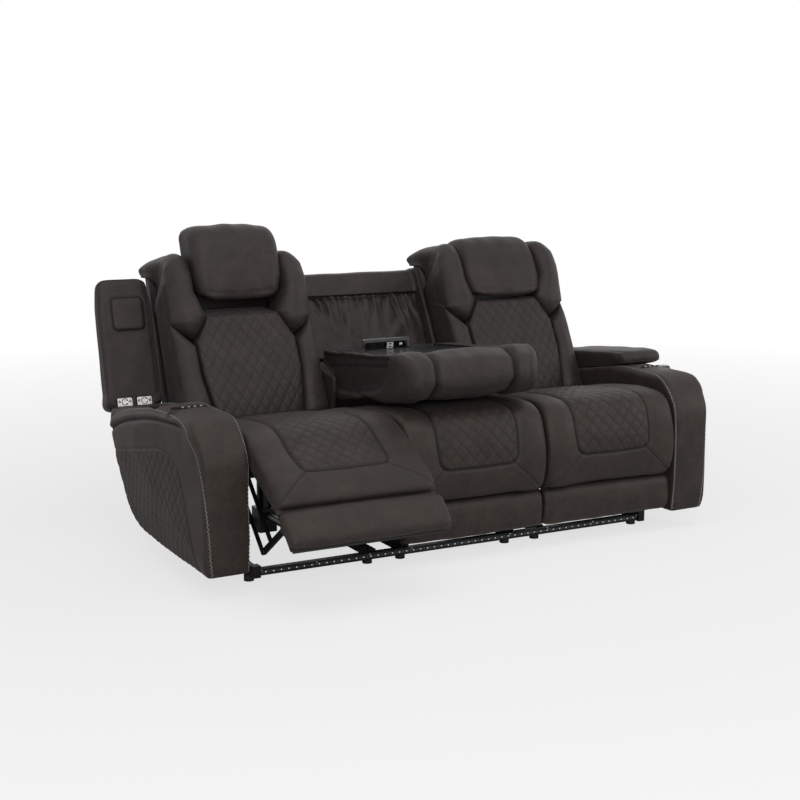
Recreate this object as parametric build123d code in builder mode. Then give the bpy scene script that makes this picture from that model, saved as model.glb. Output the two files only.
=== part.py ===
"""Three-seat power reclining sofa whose middle back folds down as a console.

X runs across the sofa, +Y to its rear and +Z up, in millimetres.  Side outlines are written
as (y, z): y is measured from the front face of the light bar and z from the floor.  The
pieces of a recliner are drawn once, closed and about x = 0, then set in place twice.
"""
from build123d import *
from math import cos, radians, sin
import os

# ---- overall ----
BAR_Y = -266.61           # where the light bar's front face lies, so that the sofa is centred
SEAT_PITCH = 590.0        # from one seat's centre line to the next
SEAT_HALF = SEAT_PITCH / 2 - 4   # half the width of a seat cushion
BACK_HALF = SEAT_HALF - 5
DECK_HALF = SEAT_HALF - 41
SIDE_PLATE_X = DECK_HALF + 26    # steel side plate of the seat carriage
CLEAR = 0.3               # running clearance between seated pieces

# ---- base ----
GLIDE_R = 18.0
GLIDE_H = 22.0
GLIDE_Y = 65.0
RAIL = 30.0               # square tube of the floor frame
RAIL_Z = 30.0             # underside of the floor frame
RAIL_FROM_SEAT = DECK_HALF - 20  # rail's distance from its seat's centre line
MIDDLE_RAIL_X = DECK_HALF - 25
RAIL_REAR_Y = 690.0
BAR_HALF = SEAT_PITCH + RAIL_FROM_SEAT + 12
BAR_Z = 31.0
BAR_H = 24.0
BAR_T = 25.0
STRIP_H = 9.0
STRIP_T = 3.0
BRACKET_W = 28.0
STRIP_HALF = BAR_HALF - BRACKET_W - 4

# ---- arms ----
ARM_W = 219.0             # widest part of the arm
ARM_IN = SEAT_PITCH + SEAT_HALF + 4   # inner face
ARM_OUT = ARM_IN + ARM_W         # widest point of the outer face
ARM_FOOT_OUT = ARM_OUT - 72      # outer face at the bottom
ARM_TOP = 614.0           # crest of the arm
ARM_BOTTOM = 78.0
ARM_FRONT = -118.0
ARM_REAR = 717.0
ARM_SLOPE = 0.17          # fall of the arm's top to the rear
ARM_NOSE_OUT = ARM_OUT - 60         # outer face at the very front
ARM_FULL_Y = 440.0        # from here back the arm has its full width
BIN_X = (ARM_IN + 41, ARM_OUT - 46)
BIN_Y = (300.0, 640.0)
BIN_FLOOR = 420.0
BIN_WALL = 2.5
OUTRIGGER_Y = (320.0, 600.0)   # where the floor frame reaches out to each arm
OUTRIGGER_H = 170.0
BEZEL_X = ARM_IN + 105
BEZEL_Y = 158.0
BEZEL_HALF = 66.0
BEZEL_R = 19.0
BEZEL_T = 6.0
BEZEL_SEAT_Z = 606.0
BUTTON_R = 6.5
BUTTON_PITCH = 22.0
BUTTON_TRAVEL = 1.0
BUTTON_H = 6.0
USB_W = 16.0
USB_D = 8.0

# ---- arm lids ----
LID_HINGE = (ARM_REAR - 2, ARM_TOP - ARM_SLOPE * (ARM_REAR - 2 - 215) + CLEAR)
LID_LENGTH = 488.0
LID_T = 57.0              # thickness at the nose
LID_T_REAR = 92.0         # thickness at the hinge
LID_NOSE_R = 36.0
LID_X = (ARM_IN + 15, ARM_OUT)
LID_REST_OPEN = 96.0      # the left lid stands open by this angle
LID_PAD = 126.0           # raised square pad under the lid
LID_PAD_FROM_HINGE = 348.0
LID_PAD_INWARD = 10.0     # the pad's middle lies this much nearer to the seat
HINGE_SEAT_Y = ARM_REAR - 20
HINGE_SEAT_Z = ARM_TOP - ARM_SLOPE * (ARM_REAR - 215) - 9
HINGE_CUP_W = 56.0
HINGE_CUP_L = 30.0

# ---- seats ----
DECK_Z = 392.0
DECK_T = 40.0
DECK_FRONT = -50.0
DECK_REAR = 560.0
SEAT_FRONT = -96.0
SEAT_CROWN = 557.0
SEAT_REAR = 484.0
SEAM_X = 165.0            # sewn channel each side of the quilted centre
SEAM_W = 4.0
SEAM_DEPTH = 7.0
CHAISE_TOP = 479.7
CHAISE_FRONT = -131.0
FOOT_FRONT = -104.0
PLATE_T = 5.0

# ---- footrest linkage, closed ----
CHAISE_PIVOT = (-120.0, 500.0)
CREASE = (-62.0, 226.0)       # hinge between the lower front cushion and the footrest
KNUCKLE_R = 4.0
KNUCKLE_L = 60.0
KNUCKLE_X = 190.0             # outer knuckles of the lower front cushion
CREASE_GAP = 6.0              # from the hinge line down to the footrest's top
FOOT_TOP = CREASE[1] - CREASE_GAP
REAR_TOP = (62.7, 372.0)      # rear link on the side plate
REAR_LOW = (143.9, 78.1)      # rear link on the front link
FRONT_TOP = (-20.0, 200.0)    # front link on the footrest bracket
CONTROL_OFFSET = (-48.0, 36.0)
LINK_W = 24.0
LINK_T = 5.0
PIN_R = 5.0
REAR_LINK_X = SIDE_PLATE_X - 8
FRONT_LINK_X = REAR_LINK_X - 7
CONTROL_LINK_X = FRONT_LINK_X - 7
SLIP_FRONT = (0.0, -0.22, 0.55)    # the footrest pin's path in the front link: centre, reach
SLIP_CONTROL = (-0.9, -1.4, 2.0)   # the front link pin's path in the control link
TUBE_R = 9.0
CHAISE_REST = 64.0        # the left footrest is open by this angle
CREASE_RATIO = -0.28
REAR_RATIO = 0.9799
FRONT_RATIO = -0.0400

# ---- backs ----
BACK_PIVOT = (520.0, 330.0)
BACK_PIN_R = 8.0
BACK_ARM_X = SIDE_PLATE_X - 8
FRAME_LEAN = 0.342        # the frame's run to the rear for each unit of height
FRAME_FOOT = (700.0, 440.0)
FRAME_TOP_Z = 985.0
FRAME_T = 58.0
QUILT_HALF = BACK_HALF - 86
QUILT_TOP_HALF = BACK_HALF - 146
HEAD_HALF = BACK_HALF - 109
TIP_Z = 768.0
HEAD_BOTTOM_Z = 868.0
WING_TOP_Z = 1090.0
REAR_LIP_Y = 984.0
HEAD_PIVOT = (735.0, 905.0)
HEAD_REST_UP = 70.0       # the left headrest is raised by this much
HEAD_REST_TILT = 15.24
CARRIER_HALF = 112.0
LUG_X = 100.0
LUG_T = 8.0

# ---- middle seat's black skirt ----
SKIRT_Y = -60.0 + CLEAR
SKIRT_T = 18.0

# ---- middle back ----
WALL_X = (SEAT_PITCH - BACK_HALF - 24, SEAT_PITCH - BACK_HALF - 6)
RECESS_LEAN = 0.53
RAIL_TOP = (915.0, 968.0)
GATHER_TOP_Z = 885.0
GATHER_FOOT_Z = 640.0
SWING_R = 204.0           # the folding table and its raised power panel pass inside this radius
POST_TOP = 380.0
PANEL_T = 22.0

# ---- console, folded down ----
CONSOLE_PIVOT = (520.0, 562.0)
CONSOLE_TILT = 4.9        # its front stands a little high
CONSOLE_HALF = WALL_X[0] - 10
CONSOLE_TOP = 144.0       # table top above the pivot
TRAY_HALF = CONSOLE_HALF - 38
TRAY_FRONT = 452.0        # from the pivot to the table's front edge
TRAY_REAR = 98.0
TRAY_T = 22.0
CUP_R = 43.0
CUP_WALL = 2.0
CUP_DEPTH = 62.0
CUP_X = 110.0
CUP_FROM_PIVOT = 360.0
POWER_HALF = 102.0
POWER_L = 54.0
POWER_T = 11.0
POWER_HINGE = 82.0        # behind the console's pivot
POWER_PIN_R = 2.5
POWER_REST = 74.0         # the power panel stands open by this angle
CONSOLE_PIN_R = 6.0


def at(x, y, z):
    """A point given by its side-view y and z."""
    return (x, BAR_Y + y, z)


def side_plane(x=0.0):
    """The plane of a side outline at x, whose sketch axes are y and z."""
    return Plane(origin=at(x, 0, 0), x_dir=(0, 1, 0), z_dir=(1, 0, 0))


FRONT_PLANE = Plane(origin=at(0, -700, 0), x_dir=(1, 0, 0), z_dir=(0, -1, 0))
FRONT_DEPTH = 2000.0      # longer than the sofa is deep
PLAN_PLANE = Plane(origin=at(0, 0, 0), x_dir=(1, 0, 0), z_dir=(0, 0, 1))


def turned(piece, pivot, degrees):
    """The piece turned about a cross axis; a positive angle lifts its rear."""
    return piece.rotate(Axis(at(0, *pivot), (1, 0, 0)), degrees)


def spin(vector, degrees):
    """A side-view vector turned the same way."""
    a = radians(degrees)
    return (vector[0] * cos(a) - vector[1] * sin(a), vector[0] * sin(a) + vector[1] * cos(a))


def plus(a, b):
    return (a[0] + b[0], a[1] + b[1])


def minus(a, b):
    return (a[0] - b[0], a[1] - b[1])


def outline(points, soft=()):
    """A closed face through points; the corners listed in soft are rounded by their radius."""
    with BuildSketch() as face:
        with BuildLine():
            Polyline(*points, close=True)
        make_face()
        for index, radius in soft:
            fillet(face.vertices().sort_by_distance(points[index])[0], radius)
    return face.sketch


def soft_curve(*points, tangents=None, pieces=12):
    """A smooth curve through points, laid as short flats."""
    curve = Spline(*points, tangents=tangents, mode=Mode.PRIVATE)
    inner = [curve @ (i / pieces) for i in range(1, pieces)]
    return Polyline(points[0], *inner, points[-1])


def drawn(plane, face):
    """The same face laid on a plane."""
    return plane.location * face


def frame_y(z):
    """The front of the back's frame at a height."""
    return FRAME_FOOT[0] + FRAME_LEAN * (z - FRAME_FOOT[1])


def recess_y(z):
    """The front of the recess panel at a height."""
    return RAIL_TOP[0] + RECESS_LEAN * (z - RAIL_TOP[1])


def write(piece, label):
    piece.label = label
    export_step(piece, f"parts/{label}.step")


# ------------------------------------------------------------------ floor frame
def rail_places():
    """The x of each fore-and-aft rail."""
    near = SEAT_PITCH - RAIL_FROM_SEAT
    far = SEAT_PITCH + RAIL_FROM_SEAT
    return [-far, -near, -MIDDLE_RAIL_X, MIDDLE_RAIL_X, near, far]


def make_base_rails():
    with BuildPart() as rails:
        for x in rail_places():
            length = RAIL_REAR_Y - BAR_T
            with Locations(at(x, BAR_T + length / 2, RAIL_Z + RAIL / 2)):
                Box(RAIL, length, RAIL)
        with Locations(at(0, RAIL_REAR_Y - RAIL / 2, RAIL_Z + RAIL / 2)):
            Box(2 * rail_places()[-1], RAIL, RAIL)
        outer = rail_places()[-1] + RAIL / 2
        reach = ARM_IN - CLEAR - outer
        for side in (-1, 1):
            for y in OUTRIGGER_Y:
                with Locations(at(side * (outer + reach / 2), y, RAIL_Z + RAIL / 2)):
                    Box(reach, 60, RAIL)
                with Locations(at(side * (ARM_IN - CLEAR - 2.5), y, RAIL_Z + OUTRIGGER_H / 2)):
                    Box(5, 60, OUTRIGGER_H)
    return rails.part


def make_light_bar():
    """The black bar along the front, with a corner bracket slipped over each end."""
    pieces = []
    with BuildPart() as bar:
        with Locations(at(0, BAR_T / 2, BAR_Z + BAR_H / 2)):
            Box(2 * (BAR_HALF - BRACKET_W - CLEAR), BAR_T, BAR_H)
        with Locations(at(0, STRIP_T / 2, BAR_Z + BAR_H / 2)):
            Box(2 * STRIP_HALF, STRIP_T, STRIP_H, mode=Mode.SUBTRACT)
    pieces.append(bar.part)
    for side in (-1, 1):
        with BuildPart() as bracket:
            with Locations(at(side * (BAR_HALF - BRACKET_W / 2), BAR_T / 2 - 4, BAR_Z + BAR_H / 2 + 4)):
                Box(BRACKET_W, BAR_T + 8, BAR_H + 18)
        pieces.append(bracket.part)
    return Compound(children=pieces)


def make_light_strip():
    with BuildPart() as strip:
        with Locations(at(0, STRIP_T / 2, BAR_Z + BAR_H / 2)):
            Box(2 * STRIP_HALF, STRIP_T, STRIP_H)
    return strip.part


def make_glides():
    with BuildPart() as glides:
        for x in rail_places():
            for y in (GLIDE_Y, RAIL_REAR_Y - 2 * RAIL):
                with Locations(at(x, y, 0)):
                    Cylinder(GLIDE_R, GLIDE_H, align=(Align.CENTER, Align.CENTER, Align.MIN))
                with Locations(at(x, y, GLIDE_H)):
                    Cylinder(PIN_R, RAIL_Z - GLIDE_H, align=(Align.CENTER, Align.CENTER, Align.MIN))
    return glides.part


# ------------------------------------------------------------------ arms
def arm_side_face():
    """The arm seen from the side: rolled front, sloping top and rounded rear foot."""
    rear_top = ARM_TOP - ARM_SLOPE * (ARM_REAR - 215)
    with BuildSketch() as face:
        with BuildLine():
            Line((ARM_FRONT + 10, ARM_BOTTOM), (ARM_FRONT, 200))
            Line((ARM_FRONT, 200), (ARM_FRONT, 430))
            soft_curve((ARM_FRONT, 430), (-84, 530), (6, 603), (120, ARM_TOP),
                   tangents=((0, 1), (1, 0)))
            Line((120, ARM_TOP), (215, ARM_TOP))
            Line((215, ARM_TOP), (ARM_REAR, rear_top))
            Line((ARM_REAR, rear_top), (ARM_REAR, rear_top - 60))
            soft_curve((ARM_REAR, rear_top - 60), (690, 372), (676, 221), (616, 112), (455, ARM_BOTTOM + 4),
                   tangents=((-0.1, -1), (-1, -0.05)))
            Line((455, ARM_BOTTOM + 4), (300, ARM_BOTTOM))
            Line((300, ARM_BOTTOM), (ARM_FRONT + 10, ARM_BOTTOM))
        make_face()
    return face.sketch


def arm_front_face():
    """The arm seen from the front: upright inside, arched top, outside tapered to the foot."""
    with BuildSketch() as face:
        with BuildLine():
            Line((ARM_IN, ARM_BOTTOM), (ARM_IN, 580))
            soft_curve((ARM_IN, 580), (ARM_IN + 26, ARM_TOP - 8), (ARM_IN + 75, ARM_TOP),
                   tangents=((0, 1), (1, 0)))
            soft_curve((ARM_IN + 75, ARM_TOP), (ARM_OUT - 52, 596), (ARM_OUT, 470), tangents=((1, 0), (0, -1)))
            soft_curve((ARM_OUT, 470), (ARM_OUT - 26, 270), (ARM_FOOT_OUT, ARM_BOTTOM),
                       tangents=((0, -1), (-0.4, -1)))
            Line((ARM_FOOT_OUT, ARM_BOTTOM), (ARM_IN, ARM_BOTTOM))
        make_face()
    return face.sketch


def make_arm():
    """The right arm, hollow under its lid, with a seat for the control bezel."""
    with BuildPart() as arm:
        extrude(drawn(side_plane(ARM_IN), arm_side_face()), amount=ARM_OUT - ARM_IN)
        extrude(drawn(FRONT_PLANE, arm_front_face()), amount=-FRONT_DEPTH, mode=Mode.INTERSECT)
        plan = [(ARM_IN, ARM_FRONT), (ARM_NOSE_OUT, ARM_FRONT), (ARM_OUT, ARM_FULL_Y), (ARM_OUT, ARM_REAR),
                (ARM_IN, ARM_REAR)]
        extrude(drawn(PLAN_PLANE, outline(plan, ((1, 20),))), amount=800, mode=Mode.INTERSECT)
        with BuildSketch(Plane.XY.offset(BIN_FLOOR)):
            with Locations((sum(BIN_X) / 2, BAR_Y + sum(BIN_Y) / 2)):
                Rectangle(BIN_X[1] - BIN_X[0], BIN_Y[1] - BIN_Y[0])
        extrude(amount=ARM_TOP, mode=Mode.SUBTRACT)
        with BuildSketch(Plane.XY.offset(BEZEL_SEAT_Z)):
            with Locations((BEZEL_X, BAR_Y + BEZEL_Y)):
                SlotOverall(2 * BEZEL_HALF, 2 * BEZEL_R)
        extrude(amount=BEZEL_T * 4, mode=Mode.SUBTRACT)
        for offset in (-38, 38):
            with BuildSketch(Plane.XY.offset(HINGE_SEAT_Z)):
                with Locations((sum(LID_X) / 2 + offset, BAR_Y + HINGE_SEAT_Y)):
                    Rectangle(26 + 2 * CLEAR, 24 + 2 * CLEAR)
            extrude(amount=40, mode=Mode.SUBTRACT)
    return arm.part


def make_arm_bin():
    """A tray liner hung in the arm's storage hollow."""
    width = BIN_X[1] - BIN_X[0] - 2 * CLEAR
    length = BIN_Y[1] - BIN_Y[0] - 2 * CLEAR
    height = 110.0
    with BuildPart() as liner:
        with Locations(at(sum(BIN_X) / 2, sum(BIN_Y) / 2, BIN_FLOOR + height / 2)):
            Box(width, length, height)
        with Locations(at(sum(BIN_X) / 2, sum(BIN_Y) / 2, BIN_FLOOR + BIN_WALL + height / 2)):
            Box(width - 2 * BIN_WALL, length - 2 * BIN_WALL, height, mode=Mode.SUBTRACT)
    return liner.part


def button_places():
    """The x of each button; the charging socket takes the fifth place."""
    return [BEZEL_X + (i - 2) * BUTTON_PITCH for i in range(4)]


def make_control_bezel():
    with BuildPart() as bezel:
        with BuildSketch(Plane.XY.offset(BEZEL_SEAT_Z)):
            with Locations((BEZEL_X, BAR_Y + BEZEL_Y)):
                SlotOverall(2 * BEZEL_HALF - 2 * CLEAR, 2 * BEZEL_R - 2 * CLEAR)
            with Locations(*[(x, BAR_Y + BEZEL_Y) for x in button_places()]):
                Circle(BUTTON_R + CLEAR, mode=Mode.SUBTRACT)
        extrude(amount=BEZEL_T)
        socket_x = BEZEL_X + 2 * BUTTON_PITCH
        with BuildSketch(Plane.XY.offset(BEZEL_SEAT_Z + BEZEL_T)):
            with Locations((socket_x, BAR_Y + BEZEL_Y)):
                Rectangle(USB_W, USB_D)
        extrude(amount=-BEZEL_T + 1.5, mode=Mode.SUBTRACT)
    return bezel.part


def make_button(x):
    with BuildPart() as button:
        with Locations(at(x, BEZEL_Y, BEZEL_SEAT_Z + BUTTON_TRAVEL + 0.3)):
            Cylinder(BUTTON_R, BUTTON_H, align=(Align.CENTER, Align.CENTER, Align.MIN))
        fillet(button.faces().sort_by(Axis.Z)[-1].edges(), 1.0)
    return button.part


# ------------------------------------------------------------------ arm lids
def lid_frame():
    """The lid's own plane: x across it, y from the hinge to its nose, z out of its top."""
    fall = spin((1.0, 0.0), -degrees_of(ARM_SLOPE))
    return Plane(origin=at(0, *LID_HINGE), x_dir=(-1, 0, 0), z_dir=(0, -fall[1], fall[0]))


def degrees_of(slope):
    """The angle whose tangent is a small slope."""
    return Vector(1, slope, 0).get_angle(Vector(1, 0, 0))


def lid_side_face():
    """The lid from the side, closed: a wedge that is thickest at its hinge."""
    along = spin((-1.0, 0.0), -degrees_of(ARM_SLOPE))
    points = []
    for u, w in ((0, 0), (LID_LENGTH, 0), (LID_LENGTH, LID_T), (0, LID_T_REAR)):
        points.append((LID_HINGE[0] + u * along[0] + w * along[1], LID_HINGE[1] + u * along[1] - w * along[0]))
    return outline(points)


def make_lid():
    """The padded right lid, closed: rounded nose, sloping top and a square pad below."""
    half = (LID_X[1] - LID_X[0]) / 2
    middle = -sum(LID_X) / 2
    base = lid_frame()
    with BuildPart() as lid:
        with BuildSketch(base):
            with Locations((middle, LID_LENGTH / 2)):
                RectangleRounded(2 * half, LID_LENGTH, LID_NOSE_R)
        extrude(amount=LID_T_REAR)
        extrude(drawn(side_plane(LID_X[0]), lid_side_face()), amount=2 * half, mode=Mode.INTERSECT)
        fillet(lid.faces().sort_by(Axis.Z)[-1].edges(), 20)
        with BuildSketch(base):
            with Locations((middle + LID_PAD_INWARD, LID_PAD_FROM_HINGE)):
                RectangleRounded(LID_PAD, LID_PAD, 22)
        extrude(amount=-9)
        for offset in (-38, 38):
            with BuildSketch(base):
                with Locations((middle + offset, HINGE_CUP_L / 2 + 2)):
                    Rectangle(HINGE_CUP_W + 0.6, HINGE_CUP_L + 0.6)
            extrude(amount=9, mode=Mode.SUBTRACT)
    return lid.part


def make_lid_hinges():
    """Two plated hinge cups let into the lid's underside."""
    middle = -sum(LID_X) / 2
    base = lid_frame()
    with BuildPart() as cups:
        for offset in (-38, 38):
            with BuildSketch(base.offset(2.0)):
                with Locations((middle + offset, HINGE_CUP_L / 2 + 2)):
                    Rectangle(HINGE_CUP_W, HINGE_CUP_L)
            extrude(amount=7)
            with BuildSketch(base.offset(2.0)):
                with Locations((middle + offset, 15)):
                    Rectangle(20, 18)
            extrude(amount=4, mode=Mode.SUBTRACT)
    return cups.part


def make_hinge_arms():
    """The fixed halves of the lid hinges, screwed to the arm's rear top."""
    middle = sum(LID_X) / 2
    with BuildPart() as plates:
        for offset in (-38, 38):
            with Locations(at(middle + offset, HINGE_SEAT_Y, HINGE_SEAT_Z + 4)):
                Box(26, 24, 8)
    return plates.part


# ------------------------------------------------------------------ seats
def seat_side_face(drop=0.0):
    """A seat cushion from the side; drop lowers its top, for the sewn channels."""
    nose = SEAT_FRONT + drop
    crown = SEAT_CROWN - drop
    with BuildSketch() as face:
        with BuildLine():
            Polyline((SEAT_REAR, crown - 82), (SEAT_REAR, DECK_Z + DECK_T + CLEAR),
                     (DECK_FRONT - 2, DECK_Z + DECK_T + CLEAR), (DECK_FRONT - 2, 480 + drop),
                     (nose + 8, 480 + drop))
            soft_curve((nose + 8, 480 + drop), (nose, 500), (nose + 30, crown - 20),
                   (30, crown - 2), (200, crown - 14), (SEAT_REAR - 60, crown - 56),
                   (SEAT_REAR, crown - 82))
        make_face()
    return face.sketch


def crowned_front_face(half, top, fall, bottom):
    """A cushion from the front: a crowned top that falls to its rounded sides."""
    with BuildSketch() as face:
        with BuildLine():
            Line((-half, bottom), (half, bottom))
            Line((half, bottom), (half, top - fall - 26))
            soft_curve((half, top - fall - 26), (half - 22, top - fall), (0, top),
                   (22 - half, top - fall), (-half, top - fall - 26),
                   tangents=((0, 1), (0, -1)))
            Line((-half, top - fall - 26), (-half, bottom))
        make_face()
    return face.sketch


def make_seat_cushion():
    """A crowned cushion with a sewn channel each side of its quilted centre."""
    with BuildPart() as cushion:
        extrude(drawn(side_plane(-SEAT_HALF), seat_side_face()), amount=2 * SEAT_HALF)
        crown = crowned_front_face(SEAT_HALF, SEAT_CROWN + 2, 16, DECK_Z)
        extrude(drawn(FRONT_PLANE, crown), amount=-FRONT_DEPTH, mode=Mode.INTERSECT)
        for side in (-1, 1):
            with BuildPart(mode=Mode.PRIVATE) as channel:
                edge = side * SEAM_X - SEAM_W / 2
                extrude(drawn(side_plane(edge), seat_side_face(-20)), amount=SEAM_W)
                floor = drawn(side_plane(edge - 1), seat_side_face(SEAM_DEPTH + 5))
                extrude(floor, amount=SEAM_W + 2, mode=Mode.SUBTRACT)
                with Locations(at(edge, 200, SEAT_CROWN)):
                    Box(3 * SEAM_W, 640, 130, mode=Mode.INTERSECT)
            add(channel.part, mode=Mode.SUBTRACT)
    return cushion.part


def carriage_plate_face():
    """The seat carriage's steel side plate, from the linkage pivots to the back's pivot."""
    points = [(-14, 431), (-14, 394), (REAR_TOP[0] - 26, REAR_TOP[1] - 26), (100, 346),
              (440, 306), (BACK_PIVOT[0] + 6, BACK_PIVOT[1] - 26), (BACK_PIVOT[0] + 26, 340),
              (BACK_PIVOT[0] + 10, 431)]
    return outline(points, ((2, 18), (5, 16), (6, 16)))


def make_seat_deck():
    """The seat's deck with its two steel carriage plates and their pivot pins."""
    link_pins = (REAR_TOP, plus(REAR_TOP, CONTROL_OFFSET))
    with BuildPart() as deck:
        length = DECK_REAR - DECK_FRONT
        with Locations(at(0, DECK_FRONT + length / 2, DECK_Z + DECK_T / 2)):
            Box(2 * DECK_HALF, length, DECK_T)
        for side in (-1, 1):
            with Locations(at(side * (DECK_HALF + SIDE_PLATE_X + PLATE_T) / 2, 330, DECK_Z + DECK_T - 7)):
                Box(SIDE_PLATE_X + PLATE_T - DECK_HALF, 400, 10)
            outer = side * (SIDE_PLATE_X + PLATE_T / 2)
            extrude(drawn(side_plane(outer), carriage_plate_face()), amount=PLATE_T / 2, both=True)
            reach = {REAR_TOP: REAR_LINK_X + CLEAR, link_pins[1]: CONTROL_LINK_X - CLEAR}
            for pin in link_pins:
                with BuildSketch(side_plane(side * SIDE_PLATE_X)):
                    with Locations(pin):
                        Circle(PIN_R)
                extrude(amount=-side * (SIDE_PLATE_X - reach[pin]))
            with BuildSketch(side_plane(side * SIDE_PLATE_X)):
                with Locations(BACK_PIVOT):
                    Circle(BACK_PIN_R)
            extrude(amount=-side * (SIDE_PLATE_X - BACK_ARM_X + CLEAR))
    return deck.part


def chaise_face():
    """The lower front cushion of a seat, from under the nose down to the crease."""
    with BuildSketch() as face:
        with BuildLine():
            Line((-60, CHAISE_TOP), (-60, 240))
            Line((-60, 240), (-84, 240))
            soft_curve((-84, 240), (-120, 275), (-131, 356), (-122, 430), (-99, CHAISE_TOP))
            Line((-99, CHAISE_TOP), (-60, CHAISE_TOP))
        make_face()
    return face.sketch


def footpad_face():
    """The padded end of the footrest, from the crease to its lower edge."""
    with BuildSketch() as face:
        with BuildLine():
            Line((CREASE[0], FOOT_TOP), (-84, FOOT_TOP))
            soft_curve((-84, FOOT_TOP), (-102, 198), (-104, 150), (-94, 106), (-80, 92))
            Line((-80, 92), (CREASE[0], 92))
            Line((CREASE[0], 92), (CREASE[0], FOOT_TOP))
        make_face()
    return face.sketch


def front_channel_face():
    """The sewn U below the quilt, seen from the front."""
    with BuildSketch() as face:
        with Locations((0, 470)):
            RectangleRounded(2 * SEAM_X + SEAM_W, 250, 60)
            RectangleRounded(2 * SEAM_X - SEAM_W, 250 - 2 * SEAM_W, 58, mode=Mode.SUBTRACT)
    return face.sketch


def make_chaise_pad(hinged=True):
    """The lower front cushion, drawn in at its ends, with the foot of the quilt's seam."""
    with BuildPart() as pad:
        extrude(drawn(side_plane(-SEAT_HALF), chaise_face()), amount=2 * SEAT_HALF)
        plan = drawn_in_plan(SEAT_HALF, CHAISE_FRONT, -40, 26)
        extrude(drawn(PLAN_PLANE, plan), amount=800, mode=Mode.INTERSECT)
        with BuildPart(mode=Mode.PRIVATE) as channel:
            extrude(drawn(FRONT_PLANE, front_channel_face()), amount=-FRONT_DEPTH)
            floor = drawn(side_plane(-SEAT_HALF), chaise_face().moved(Location((SEAM_DEPTH, 0, 0))))
            extrude(floor, amount=2 * SEAT_HALF, mode=Mode.SUBTRACT)
            with Locations(at(0, -110, 400)):
                Box(2 * SEAT_HALF, 60, 400, mode=Mode.INTERSECT)
        add(channel.part, mode=Mode.SUBTRACT)
        if hinged:
            add(make_knuckles((-KNUCKLE_X, 0, KNUCKLE_X), 1))
    return pad.part


def make_knuckles(places, way):
    """Hinge knuckles on the crease line, joined upward (way 1) or downward (way -1)."""
    height = CREASE_GAP if way < 0 else 240 - CREASE[1]
    with BuildPart() as knuckles:
        for x in places:
            with BuildSketch(side_plane(x)):
                with Locations(CREASE):
                    Circle(KNUCKLE_R)
                with Locations((CREASE[0], CREASE[1] + way * height / 2)):
                    Rectangle(2 * KNUCKLE_R, height)
            extrude(amount=KNUCKLE_L / 2, both=True)
    return knuckles.part


def drawn_in_plan(half, front, rear, corner):
    """A cushion from above, its front corners rounded."""
    with BuildSketch() as face:
        with BuildLine():
            Polyline((-half, front + corner), (-half, rear), (half, rear), (half, front + corner))
            soft_curve((half, front + corner), (half - corner * 0.3, front + corner * 0.3),
                       (half - corner, front), tangents=((0, -1), (-1, 0)), pieces=6)
            Line((half - corner, front), (corner - half, front))
            soft_curve((corner - half, front), (corner * 0.3 - half, front + corner * 0.3),
                       (-half, front + corner), tangents=((-1, 0), (0, 1)), pieces=6)
        make_face()
    return face.sketch


def make_footpad():
    with BuildPart() as pad:
        extrude(drawn(side_plane(-SEAT_HALF), footpad_face()), amount=2 * SEAT_HALF)
        plan = drawn_in_plan(SEAT_HALF, FOOT_FRONT, -40, 20)
        extrude(drawn(PLAN_PLANE, plan), amount=800, mode=Mode.INTERSECT)
    return pad.part


def make_footrest_board():
    """The board behind the footrest pad with the two brackets that the links carry."""
    board_back = CREASE[0] + 12
    with BuildPart() as board:
        with Locations(at(0, CREASE[0] + 6, (92 + FOOT_TOP) / 2)):
            Box(2 * SEAT_HALF - 24, 12, FOOT_TOP - 92)
        step = KNUCKLE_L + CLEAR
        places = [x + way * step for x in (-KNUCKLE_X, 0, KNUCKLE_X) for way in (-1, 1)]
        add(make_knuckles(places, -1))
        for side in (-1, 1):
            inner = side * (REAR_LINK_X + PLATE_T / 2)
            foot = [(board_back, 110), (board_back, 216), (FRONT_TOP[0] + 4, 214),
                    (FRONT_TOP[0] + 14, 200), (FRONT_TOP[0] + 4, 186)]
            bracket = outline(foot, ((2, 8), (3, 8), (4, 8)))
            extrude(drawn(side_plane(inner), bracket), amount=PLATE_T / 2, both=True)
            with BuildSketch(side_plane(side * REAR_LINK_X)):
                with Locations(FRONT_TOP):
                    Circle(PIN_R)
            extrude(amount=-side * (REAR_LINK_X - FRONT_LINK_X + CLEAR))
    return board.part


# ------------------------------------------------------------------ footrest linkage
def link_face(a, b, hole_a, hole_b, slip=(0.0, 0.0)):
    """A round-ended bar between two pivots with its pivot holes; slip sets the second's centre."""
    middle = ((a[0] + b[0]) / 2, (a[1] + b[1]) / 2)
    span = Vector(b[0] - a[0], b[1] - a[1], 0)
    lean = Vector(1, 0, 0).get_signed_angle(span, Vector(0, 0, 1))
    with BuildSketch() as face:
        with Locations(Location(middle, (0, 0, lean))):
            SlotCenterToCenter(span.length, LINK_W)
        for pivot, hole in ((a, hole_a), (plus(b, slip), hole_b)):
            if hole:
                with Locations(pivot):
                    Circle(hole, mode=Mode.SUBTRACT)
    return face.sketch


def add_link(face, x, side):
    """Adds a link plate whose inner face lies at x on one side of the seat."""
    extrude(drawn(side_plane(side * (x + LINK_T / 2)), face), amount=LINK_T / 2, both=True)


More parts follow.
